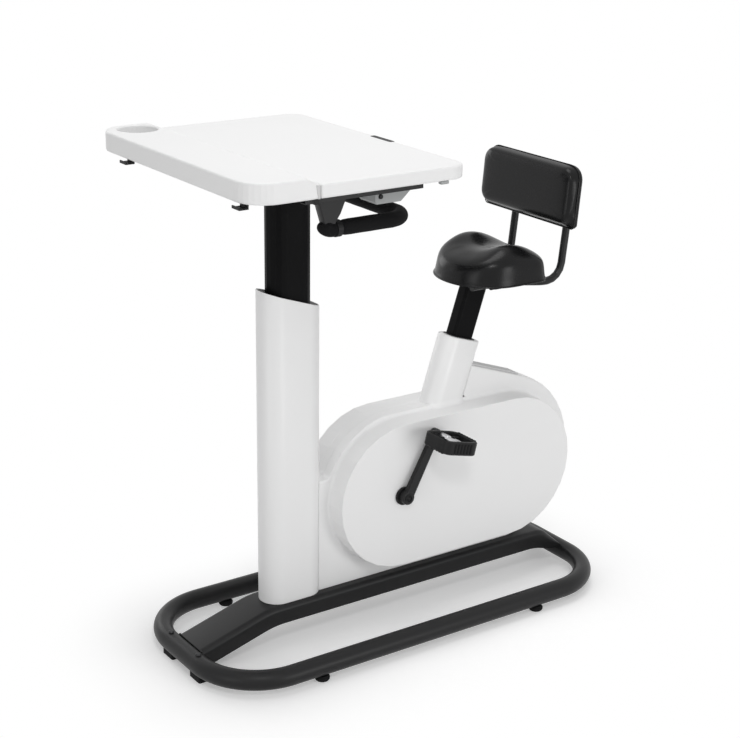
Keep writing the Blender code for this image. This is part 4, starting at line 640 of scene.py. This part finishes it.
rings = [neck_foot(NECK_FILLET * (1 - math.sin(t)), NECK_FOOT_Z + NECK_FILLET * (1 - math.cos(t)))
         for t in (math.pi / 2 * i / 7 for i in range(8))]
rings += [neck_ring(0.0, 0.0025), neck_ring(0.0007, 0.0008), neck_ring(0.0022, 0.0)]
rim = obround(NECK_LEN - 0.0044, NECK_W - 0.0044, 28)
POST_HOLE_HALF_X = 0.0345
POST_HOLE_HALF_Y = 0.0225


def opening_spot(x, y):
    """The point of the post's opening on the line from the middle to a rim point."""
    reach = max(abs(x) / POST_HOLE_HALF_X, abs(y) / POST_HOLE_HALF_Y)
    return x / reach, y / reach


inner = [opening_spot(x, y) for x, y in rim]
for below in (0.0, 0.003):
    rings.append([tuple(SEAT_REF + SEAT_TURN @ Vector((x, y, -below))) for x, y in inner])
neck = loft(rings, ends=False)
fit(make("seat_neck", neck, WHITE_SHELL), "frame", "white_plastic", "seat_fairing")


# Desk trim

PULL_Y = -0.029
pull = make("finger_pull_plate", slab(corner_box(0.0065, 0.0405, 0.003), 0, 0.0009, 0.0003),
            BLACK_PLASTIC)
fit(pull, "desk_slide", "black_plastic").location = (-0.0368, PULL_Y, 1.2057)

groove = slab(obround(0.0795, 0.0135, 12), -0.0010, 0.0, 0.0002)
on_edge = Matrix.Rotation(math.pi / 2, 4, "Y") @ Matrix.Rotation(math.pi / 2, 4, "Z")
turn = Matrix.Translation((-0.0400, PULL_Y, 1.191)) @ on_edge
fit(make("finger_slot_liner", shift(groove, turn), BLACK_PLASTIC), "desk_slide", "black_plastic")

cap = [(-0.4185, 1.2055), (-0.4100, 1.2055), (-0.4085, 1.1765), (-0.4135, 1.1765)]
cap_part = shift(slab(cap, 0.0, 0.0011, 0.0003), upright(-0.3468))
fit(make("rail_end_cap_near", cap_part, PALE_TRIM), "desk_lift", "white_plastic")

MAT_T = 0.0012
MAT_GROOVE = 0.0006
mat_rings = [(AXIS_GAP, 0.0), (0.0425, 0.0), (0.0430, MAT_GROOVE), (0.0425, MAT_T)]
for r in (0.036, 0.029, 0.022, 0.015):
    mat_rings += [(r + 0.0012, MAT_T), (r + 0.0006, MAT_GROOVE),
                  (r - 0.0006, MAT_GROOVE), (r - 0.0012, MAT_T)]
mat_rings += [(AXIS_GAP, MAT_T)]
fit(make("cup_mat", lathe(mat_rings, (-0.492, 0.289, 1.1852), (0, 0, 1), 64), PALE_TRIM),
    "desk_lift", "white_plastic")


# Handlebar: a smooth foam grip over the bent bar

BAR_Z = 1.086
BAR_X = -0.125
BAR_Y = 0.265
BAR_BEND = 0.055
GRIP_FROM = -0.3088
GRIP_R = 0.0172
GRIP_SHOULDER_R = 0.0168
GRIP_END_R = 0.0140
GRIP_STEP = 0.012
bar_path = [(GRIP_FROM, -BAR_Y, BAR_Z)]
bar_path += [(x, y, BAR_Z) for x, y in arc(BAR_X - BAR_BEND, BAR_BEND - BAR_Y, BAR_BEND, -90, 0, 18)]
bar_path += [(x, y, BAR_Z) for x, y in arc(BAR_X - BAR_BEND, BAR_Y - BAR_BEND, BAR_BEND, 0, 90, 18)]
bar_path += [(GRIP_FROM, BAR_Y, BAR_Z)]
path = []
for a, b in zip(bar_path, bar_path[1:]):
    steps = max(1, int((Vector(b) - Vector(a)).length / GRIP_STEP))
    path += [tuple(Vector(a).lerp(Vector(b), i / steps)) for i in range(steps)]
path.append(bar_path[-1])
sizes = [GRIP_R + 0.00012 * math.sin(1.3 * i) for i in range(len(path))]
sizes[0] = sizes[-1] = GRIP_END_R
sizes[1] = sizes[-2] = GRIP_SHOULDER_R
fit(make("foam_grip", swept(path, sizes, 32), FOAM), "desk_lift", "black_foam", "handlebar_grip")


for side, sign in (("near", -1), ("far", 1)):
    hanger = [(-0.2965, 1.1540), (-0.3675, 1.1540), (-0.3490, BAR_Z + 0.008),
              (-0.3470, BAR_Z - 0.004), (-0.3260, BAR_Z - 0.006), (-0.3235, BAR_Z + 0.016),
              (-0.3110, BAR_Z + 0.034)]
    plate = shift(slab(hanger, -0.011, 0.011, 0.0012), upright(sign * BAR_Y))
    fit(make("bar_hanger_" + side, plate, BLACK_COAT),
        "desk_lift", "black_paint", "handlebar_bracket_" + side)
    bend = [(-0.3215, sign * BAR_Y, BAR_Z)]
    bend += [(x, sign * BAR_Y, z) for x, z in arc(-0.3270, BAR_Z + 0.026, 0.026, -90, -158, 10)]
    swell = [GRIP_R] * 8 + [GRIP_SHOULDER_R, 0.0156, 0.0130, 0.0080]
    fit(make("bar_tip_" + side, swept(bend, swell, 32), FOAM), "desk_lift", "black_foam")


# Cranks and pedals

CRANK_AT = Vector((0.002, 0, 0.337))
CRANK_LEN = 0.170
BLADE_HUB_HALF = 0.0118
BLADE_EYE_HALF = 0.0092
HUB_EDGE = 0.0012
crank_turn = math.radians(61.75)
crank_reach = Vector((math.cos(crank_turn), 0, math.sin(crank_turn))) * CRANK_LEN
for side, sign in (("near", -1), ("far", 1)):
    cap = [(AXIS_GAP, 0.1118), (0.0042, 0.1118), (0.0050, 0.1110), (0.0050, 0.1098),
           (0.0062, 0.1098), (0.0070, 0.1120), (0.0096, 0.1120), (0.0106, 0.1112),
           (0.0108, 0.1098), (AXIS_GAP, 0.1094)]
    fit(make("crank_cap_" + side, lathe(cap, CRANK_AT, (0, sign, 0)), BLACK_PLASTIC),
        "crank", "black_plastic")
    flange = [(0.0118, 0.0858), (0.0226, 0.0858), (0.0232, 0.0864), (0.0232, 0.0904),
              (0.0224, 0.0914), (0.0118, 0.0914)]
    collar = lathe(flange, CRANK_AT, (0, sign, 0), 48, closed=True)
    fit(make("crank_flange_" + side, collar, BLACK_PLASTIC), "crank", "black_plastic")


def hub_disc(x, z, radius, first, last, sign):
    """A short round boss across the crank, with broken edges."""
    profile = [(AXIS_GAP, first), (radius - HUB_EDGE, first), (radius, first + HUB_EDGE),
               (radius, last - HUB_EDGE), (radius - HUB_EDGE, last), (AXIS_GAP, last)]
    return lathe(profile, (x, 0, z), (0, sign, 0), 40)


for side, sign in (("near", -1), ("far", 1)):
    eye = CRANK_AT - sign * crank_reach
    along = (eye - CRANK_AT).normalized()
    across = Vector((-along.z, 0, along.x))
    blade = [CRANK_AT + across * BLADE_HUB_HALF, eye + across * BLADE_EYE_HALF,
             eye - across * BLADE_EYE_HALF, CRANK_AT - across * BLADE_HUB_HALF]
    blade = [(p.x, p.z) for p in blade]
    arm = join(shift(slab(blade, 0.0950, 0.1092, 0.0016), upright(0, sign)),
               hub_disc(CRANK_AT.x, CRANK_AT.z, 0.0165, 0.0900, 0.1098, sign),
               hub_disc(eye.x, eye.z, 0.0130, 0.0932, 0.1100, sign))
    fit(make("crank_blade_" + side, arm, BLACK_COAT), "crank", "black_paint", "crank_arm_" + side)

PEDAL_IN = 0.1155
PEDAL_W = 0.098
PEDAL_LEN = 0.100
PEDAL_T = 0.026
PEDAL_RIM = 0.010
PEDAL_SKIRT = 0.007
PEDAL_TILT = Matrix.Rotation(math.radians(14), 4, "Y")
for side, sign in (("near", -1), ("far", 1)):
    eye = CRANK_AT - sign * crank_reach
    seat_at = Matrix.Translation((eye.x, sign * (PEDAL_IN + PEDAL_W / 2), eye.z)) @ PEDAL_TILT
    half_l, half_w, half_t = PEDAL_LEN / 2, PEDAL_W / 2, PEDAL_T / 2
    outer = corner_box(half_l, half_w, 0.020, 8)
    inner = corner_box(half_l - PEDAL_RIM, half_w - PEDAL_RIM, 0.010, 8)
    cage = framed(outer, inner, -half_t - PEDAL_SKIRT, half_t, 0.0022)
    web_size = (PEDAL_LEN - 2 * PEDAL_RIM + 0.002, 0.006, 0.012)
    webs = [block(web_size, (0, y, 0)) for y in (-0.020, 0.020)]
    fit(make("pedal_cage_" + side, shift(join(cage, *webs), seat_at), BLACK_PLASTIC, 30),
        "pedal_" + side + "_body", "black_plastic", "pedal_" + side)
    studs = []
    for x in (-1, 1):
        for i in range(7):
            for z in (-1, 1):
                studs.append(block((0.0050, 0.0060, 0.0022),
                                   (x * (half_l - PEDAL_RIM / 2), (i - 3) * 0.0100,
                                    z * (half_t + 0.0006) - (0 if z > 0 else PEDAL_SKIRT)),
                                   0.0005))
    for i in range(6):
        studs.append(block((0.0042, 0.0022, 0.024),
                           ((i - 2.5) * 0.0095, sign * half_w, -PEDAL_SKIRT / 2), 0.0005))
    fit(make("pedal_treads_" + side, shift(join(*studs), seat_at), RUBBER, 30),
        "pedal_" + side + "_body", "black_rubber")
    barrel = [(0.0072, -0.0385), (0.0104, -0.0385), (0.0110, -0.0375), (0.0110, -0.012),
              (0.0088, -0.009), (0.0088, 0.009), (0.0110, 0.012), (0.0110, 0.0375),
              (0.0104, 0.0385), (0.0072, 0.0385)]
    core = lathe(barrel, (0, 0, 0), (0, 1, 0), 36)
    fit(make("pedal_barrel_" + side, shift(core, seat_at), STEEL), "pedal_" + side + "_body",
        "bright_steel")


# Saddle and backrest: sewn covers, blown up a little from their drawn-in forms

PUFF_PRESSURE = 4.0
PUFF_FRAMES = 20


def puff(cover, draw_in, cap, held, finish_of):
    """Draw a cover in, blow it up as cloth and cap how far each point may move."""
    points = cover.data.vertices
    normals = [v.normal.copy() for v in points]
    still = [held(v.co) for v in points]
    for vert, normal, fixed in zip(points, normals, still):
        if not fixed:
            vert.co -= normal * draw_in
    drawn = [v.co.copy() for v in points]
    pinned = cover.vertex_groups.new(name="held")
    pinned.add([v.index for v, fixed in zip(points, still) if fixed], 1.0, "REPLACE")
    cloth = modify(cover, "CLOTH")
    cloth.settings.use_pressure = True
    cloth.settings.uniform_pressure_force = PUFF_PRESSURE
    cloth.settings.vertex_group_mass = "held"
    cloth.settings.effector_weights.gravity = 0.0
    cloth.collision_settings.use_collision = False
    cloth.point_cache.frame_start = 1
    cloth.point_cache.frame_end = PUFF_FRAMES
    for step in range(1, PUFF_FRAMES + 1):
        scene.frame_set(step)
    bake(cover)
    scene.frame_set(1)
    for vert, home in zip(cover.data.vertices, drawn):
        away = vert.co - home
        if away.length > cap:
            vert.co = home + away.normalized() * cap
    modify(cover, "SMOOTH", factor=0.4, iterations=4)
    bake(cover)
    for vert, home, fixed in zip(cover.data.vertices, drawn, still):
        if fixed:
            vert.co = home
    modify(cover, "SUBSURF", levels=1, render_levels=1)
    bake(cover)
    cover.data.shade_smooth()
    cover.data.materials.clear()
    cover.data.materials.append(finish_of)
    return cover


SADDLE_LOW = 0.829
SADDLE_FRONT = 0.176
SADDLE_REAR = 0.420
SADDLE_HALF_Y = 0.127
saddle_mid = (SADDLE_FRONT + SADDLE_REAR) / 2
saddle_half_x = (SADDLE_REAR - SADDLE_FRONT) / 2
NOSE_ROUND = 0.124
TAIL_ROUND = 0.055


def saddle_half(x):
    """Half the saddle's width at a place along it."""
    half = SADDLE_HALF_Y
    front = (x - SADDLE_FRONT) / NOSE_ROUND
    rear = (SADDLE_REAR - x) / TAIL_ROUND
    if front < 1:
        half *= (1 - (1 - front) ** 2.1) ** (1 / 2.1)
    if rear < 1:
        half *= (1 - (1 - rear) ** 2.6) ** (1 / 2.6)
    return half


def saddle_plan(share, count=44):
    """The saddle's outline from above, drawn in toward its middle by a share."""
    side = []
    for i in range(count):
        x = saddle_mid - saddle_half_x * math.cos(math.pi * (i + 0.5) / count)
        side.append((saddle_mid + share * (x - saddle_mid), share * saddle_half(x)))
    return [(x, -y) for x, y in side] + side[::-1]


SEAT_BONE_Y = 0.078


def saddle_top(x, y):
    """Height of the top over its low edge: two humps and a valley that fills to the nose."""
    rise = 0.058 + 0.010 * (1 - ((x - saddle_mid) / saddle_half_x) ** 2)
    across = math.exp(-((abs(y) - SEAT_BONE_Y) / 0.038) ** 2)
    if abs(y) < SEAT_BONE_Y:
        toward_nose = min(1.0, max(0.0, (0.360 - x) / 0.150))
        across += (1 - across) * 0.40 * toward_nose ** 2 * (3 - 2 * toward_nose)
    return rise + 0.024 * across * math.exp(-((x - 0.305) / 0.075) ** 2)


def saddle_ring(share, height):
    """A ring of the cover; the wall leans back over the nose."""
    out = []
    for x, y in saddle_plan(share):
        nose = max(0.0, (saddle_mid - x) / saddle_half_x)
        lean = 0.008 * min(height, 1.0) * nose * share
        out.append((x + lean, y, SADDLE_LOW + saddle_top(x, y) * height))
    return out


wall = [(0.88, 0.094), (0.88, 0.0), (0.975, 0.0), (1.0, 0.022), (1.0, 0.06), (0.996, 0.15), (0.991, 0.25),
        (0.986, 0.36), (0.981, 0.46), (0.975, 0.56), (0.967, 0.65), (0.955, 0.725), (0.936, 0.79),
        (0.908, 0.843), (0.870, 0.888), (0.820, 0.925), (0.760, 0.954), (0.69, 0.976), (0.61, 0.990),
        (0.52, 0.998), (0.42, 1.0), (0.31, 1.0), (0.20, 1.0), (0.10, 1.0), (0.03, 1.0)]
saddle = make("saddle_cover", loft([saddle_ring(s, h) for s, h in wall]), VINYL, 180)
puff(saddle, 0.0010, 0.0022, lambda p: p.z < SADDLE_LOW + 0.006, VINYL)
fit(saddle, "seat", "black_vinyl", "saddle_cushion")
PIPING_R = 0.0022
rim = [(x, y, SADDLE_LOW + PIPING_R) for x, y in saddle_plan(1.0)]
fit(make("saddle_piping", swept(rim, PIPING_R, 12, closed=True), VINYL), "seat", "black_vinyl")

BACK_FACE = Vector((0.408, 0, 1.0421))
BACK_SLOPE = 0.0906
BACK_LEAN = math.atan(BACK_SLOPE)
BACK_OUT = Vector((-math.cos(BACK_LEAN), 0, math.sin(BACK_LEAN)))
PAD_DEPTH = 0.0278
pad_seat = Matrix.Translation(BACK_FACE - BACK_OUT * PAD_DEPTH) @ Matrix.Rotation(BACK_LEAN, 4, "Y")


def pad_outline(half_y, top, low, r_top, r_low, count=8, straight=8):
    """Outline of the pad, with the same count for every size."""
    corners = [arc(half_y - r_top, top - r_top, r_top, 0, 90, count),
               arc(r_top - half_y, top - r_top, r_top, 90, 180, count),
               arc(r_low - half_y, low + r_low, r_low, 180, 270, count),
               arc(half_y - r_low, low + r_low, r_low, 270, 360, count)]
    out = []
    for i, corner in enumerate(corners):
        after = corners[(i + 1) % 4][0]
        last = corner[-1]
        out += corner
        out += [(last[0] + (after[0] - last[0]) * j / straight,
                 last[1] + (after[1] - last[1]) * j / straight) for j in range(1, straight)]
    return out


PAD_HALF_Y = 0.170
PAD_TOP = 0.071
board_line = pad_outline(PAD_HALF_Y, PAD_TOP, -0.0765, 0.034, 0.009)
face_line = pad_outline(PAD_HALF_Y, PAD_TOP, -0.071, 0.036, 0.034)


def grown(outline, amount):
    """An outline let out or drawn in by an even amount."""
    out = []
    for i, spot in enumerate(outline):
        j = i - 1
        while (Vector(outline[j]) - Vector(spot)).length < 1e-6:
            j -= 1
        k = (i + 1) % len(outline)
        while (Vector(outline[k]) - Vector(spot)).length < 1e-6:
            k = (k + 1) % len(outline)
        along = (Vector(outline[k]) - Vector(outline[j])).normalized()
        out.append((spot[0] + along.y * amount, spot[1] - along.x * amount))
    return out


def pad_ring(blend, amount, depth, share=1.0):
    """A ring between the board's outline and the face's, at a depth from the board."""
    line = [(a[0] + blend * (b[0] - a[0]), a[1] + blend * (b[1] - a[1]))
            for a, b in zip(board_line, face_line)]
    line = grown(line, amount)
    return [(-depth, y * share, z * share) for y, z in line]


rings = [pad_ring(0, -0.0040, 0.0006), pad_ring(0, -0.0004, -0.0078), pad_ring(0, 0.0010, -0.0085),
         pad_ring(0, 0.0016, -0.0060), pad_ring(0, 0.0016, 0.0000), pad_ring(0.25, 0.0014, 0.0020),
         pad_ring(0.70, 0.0012, 0.0045), pad_ring(0.95, 0.0010, 0.0080), pad_ring(1.0, 0.0006, 0.0130),
         pad_ring(1.0, -0.0006, 0.0180), pad_ring(1.0, -0.0026, 0.0225), pad_ring(1.0, -0.0056, 0.0257),
         pad_ring(1.0, -0.0100, 0.0278), pad_ring(1.0, -0.0170, 0.0290), pad_ring(1.0, -0.0260, 0.0297)]
for share in (0.60, 0.45, 0.30, 0.15, 0.04):
    rings.append(pad_ring(1.0, -0.0300, 0.0302, share / 0.78))
backrest = make("backrest_cover", shift(loft(rings), pad_seat), VINYL, 180)
puff(backrest, 0.0006, 0.0011,
     lambda p: (p - BACK_FACE).dot(BACK_OUT) < -PAD_DEPTH + 0.0005, VINYL)
fit(backrest, "seat", "black_vinyl", "backrest_pad")
shell_rings = []
for amount, depth in ((-0.0035, -0.0120), (-0.0012, -0.0115), (-0.0004, -0.0100), (-0.0004, -0.0008)):
    shell_rings.append(pad_ring(0, amount, depth))
fit(make("backrest_shell", shift(loft(shell_rings), pad_seat), BLACK_PLASTIC), "seat",
    "black_plastic", "backrest_board")
welt_line = grown(board_line, 0.0020)
welt_seat = pad_seat @ Matrix(((0, 0, -1, 0), (1, 0, 0, 0), (0, 1, 0, 0), (0, 0, 0, 1)))
welt = swept([(y, z, 0.0008) for y, z in welt_line], 0.0013, 10, closed=True)
fit(make("backrest_welt", shift(welt, welt_seat), VINYL), "seat", "black_vinyl")


# Studio: pale floor, soft lamps and the photograph's camera

FLOOR_LIFT = 0.26
SHADOW_HALF = (0.42, 0.10)
FADE_FROM = 0.10
FADE_TO = 0.42
FLOOR_RADIUS = 9.0
WORLD_LIGHT = 0.42


def seen_rays(tree):
    """1 for rays that look at the surroundings from the camera, a gloss or through glass."""
    path = add(tree, "LightPath")
    seen = math_node(tree, "MAXIMUM", path.outputs["Is Camera Ray"], path.outputs["Is Glossy Ray"])
    return math_node(tree, "MAXIMUM", seen, path.outputs["Is Transmission Ray"])


def studio_floor():
    """A pale floor that keeps the bike's own shadow and fades to white outside it."""
    bm = bmesh.new()
    bmesh.ops.create_circle(bm, cap_ends=True, segments=96, radius=FLOOR_RADIUS)
    mesh = bpy.data.meshes.new("studio_floor")
    bm.to_mesh(mesh)
    bm.free()
    floor = link(bpy.data.objects.new("studio_floor", mesh))
    floor.location.z = -0.0005
    made = bpy.data.materials.new("pale_floor")
    made.use_nodes = True
    tree = made.node_tree
    shader = tree.nodes["Principled BSDF"]
    shader.inputs["Base Color"].default_value = (0.92, 0.92, 0.92, 1)
    shader.inputs["Roughness"].default_value = 0.9
    shader.inputs["Specular IOR Level"].default_value = 0.0
    coords = add(tree, "TexCoord").outputs["Object"]
    size = add(tree, "VectorMath", operation="ABSOLUTE")
    tree.links.new(coords, size.inputs[0])
    outside = add(tree, "VectorMath", operation="SUBTRACT")
    tree.links.new(size.outputs[0], outside.inputs[0])
    outside.inputs[1].default_value = (*SHADOW_HALF, 0)
    beyond = add(tree, "VectorMath", operation="MAXIMUM")
    tree.links.new(outside.outputs[0], beyond.inputs[0])
    reach = add(tree, "VectorMath", operation="LENGTH")
    tree.links.new(beyond.outputs[0], reach.inputs[0])
    fade = add(tree, "MapRange", interpolation_type="SMOOTHSTEP", From_Min=FADE_FROM,
               From_Max=FADE_TO)
    tree.links.new(reach.outputs["Value"], fade.inputs["Value"])
    seen = seen_rays(tree)
    lift = add(tree, "Emission")
    tree.links.new(math_node(tree, "MULTIPLY", seen, FLOOR_LIFT), lift.inputs["Strength"])
    lit = add(tree, "AddShader")
    tree.links.new(shader.outputs[0], lit.inputs[0])
    tree.links.new(lift.outputs[0], lit.inputs[1])
    white = add(tree, "Emission", Strength=1.0)
    share = math_node(tree, "MULTIPLY", seen, fade.outputs["Result"])
    mix = add(tree, "MixShader")
    tree.links.new(share, mix.inputs[0])
    tree.links.new(lit.outputs[0], mix.inputs[1])
    tree.links.new(white.outputs[0], mix.inputs[2])
    tree.links.new(mix.outputs[0], tree.nodes["Material Output"].inputs["Surface"])
    mesh.materials.append(made)


def studio_world():
    """White to the eye and to glosses, and a softer light on everything else."""
    world = bpy.data.worlds.new("studio_world")
    scene.world = world
    world.use_nodes = True
    tree = world.node_tree
    back = tree.nodes["Background"]
    back.inputs["Color"].default_value = (1, 1, 1, 1)
    strength = add(tree, "MapRange", To_Min=WORLD_LIGHT, To_Max=1.0)
    tree.links.new(seen_rays(tree), strength.inputs["Value"])
    tree.links.new(strength.outputs["Result"], back.inputs["Strength"])


def lamp(name, place, aim, size, watts):
    """A soft lamp turned toward a point."""
    data = bpy.data.lights.new(name, "AREA")
    data.shape = "RECTANGLE"
    data.size, data.size_y = size
    data.energy = watts
    made = link(bpy.data.objects.new(name, data))
    made.location = place
    made.rotation_euler = (Vector(aim) - Vector(place)).to_track_quat("-Z", "Y").to_euler()


studio_floor()
studio_world()
lamp("overhead_softbox", (0.0, 0.0, 3.6), (0, 0, 0.6), (1.9, 1.5), 33)
lamp("key_softbox", (-1.5, -2.6, 3.0), (0, 0, 0.6), (0.5, 0.5), 21)
lamp("near_softbox", (0.9, -3.2, 0.8), (0.1, 0, 0.4), (1.2, 1.2), 20)
lamp("front_softbox", (-3.3, -1.2, 0.9), (-0.1, 0, 0.5), (1.1, 1.4), 10)
lamp("far_softbox", (-0.6, 3.4, 1.6), (0, 0, 0.6), (1.4, 1.4), 13)

camera = link(bpy.data.objects.new("photo_camera", bpy.data.cameras.new("photo_camera")))
camera.data.sensor_width = 36.0
camera.data.lens = FOCAL_PX / PHOTO_W * camera.data.sensor_width
back = CAMERA_RIGHT.cross(CAMERA_UP)
turn = Matrix((CAMERA_RIGHT, CAMERA_UP, back)).transposed().to_4x4()
camera.matrix_world = Matrix.Translation(CAMERA_AT) @ turn
scene.camera = camera
scene.view_settings.view_transform = "Standard"
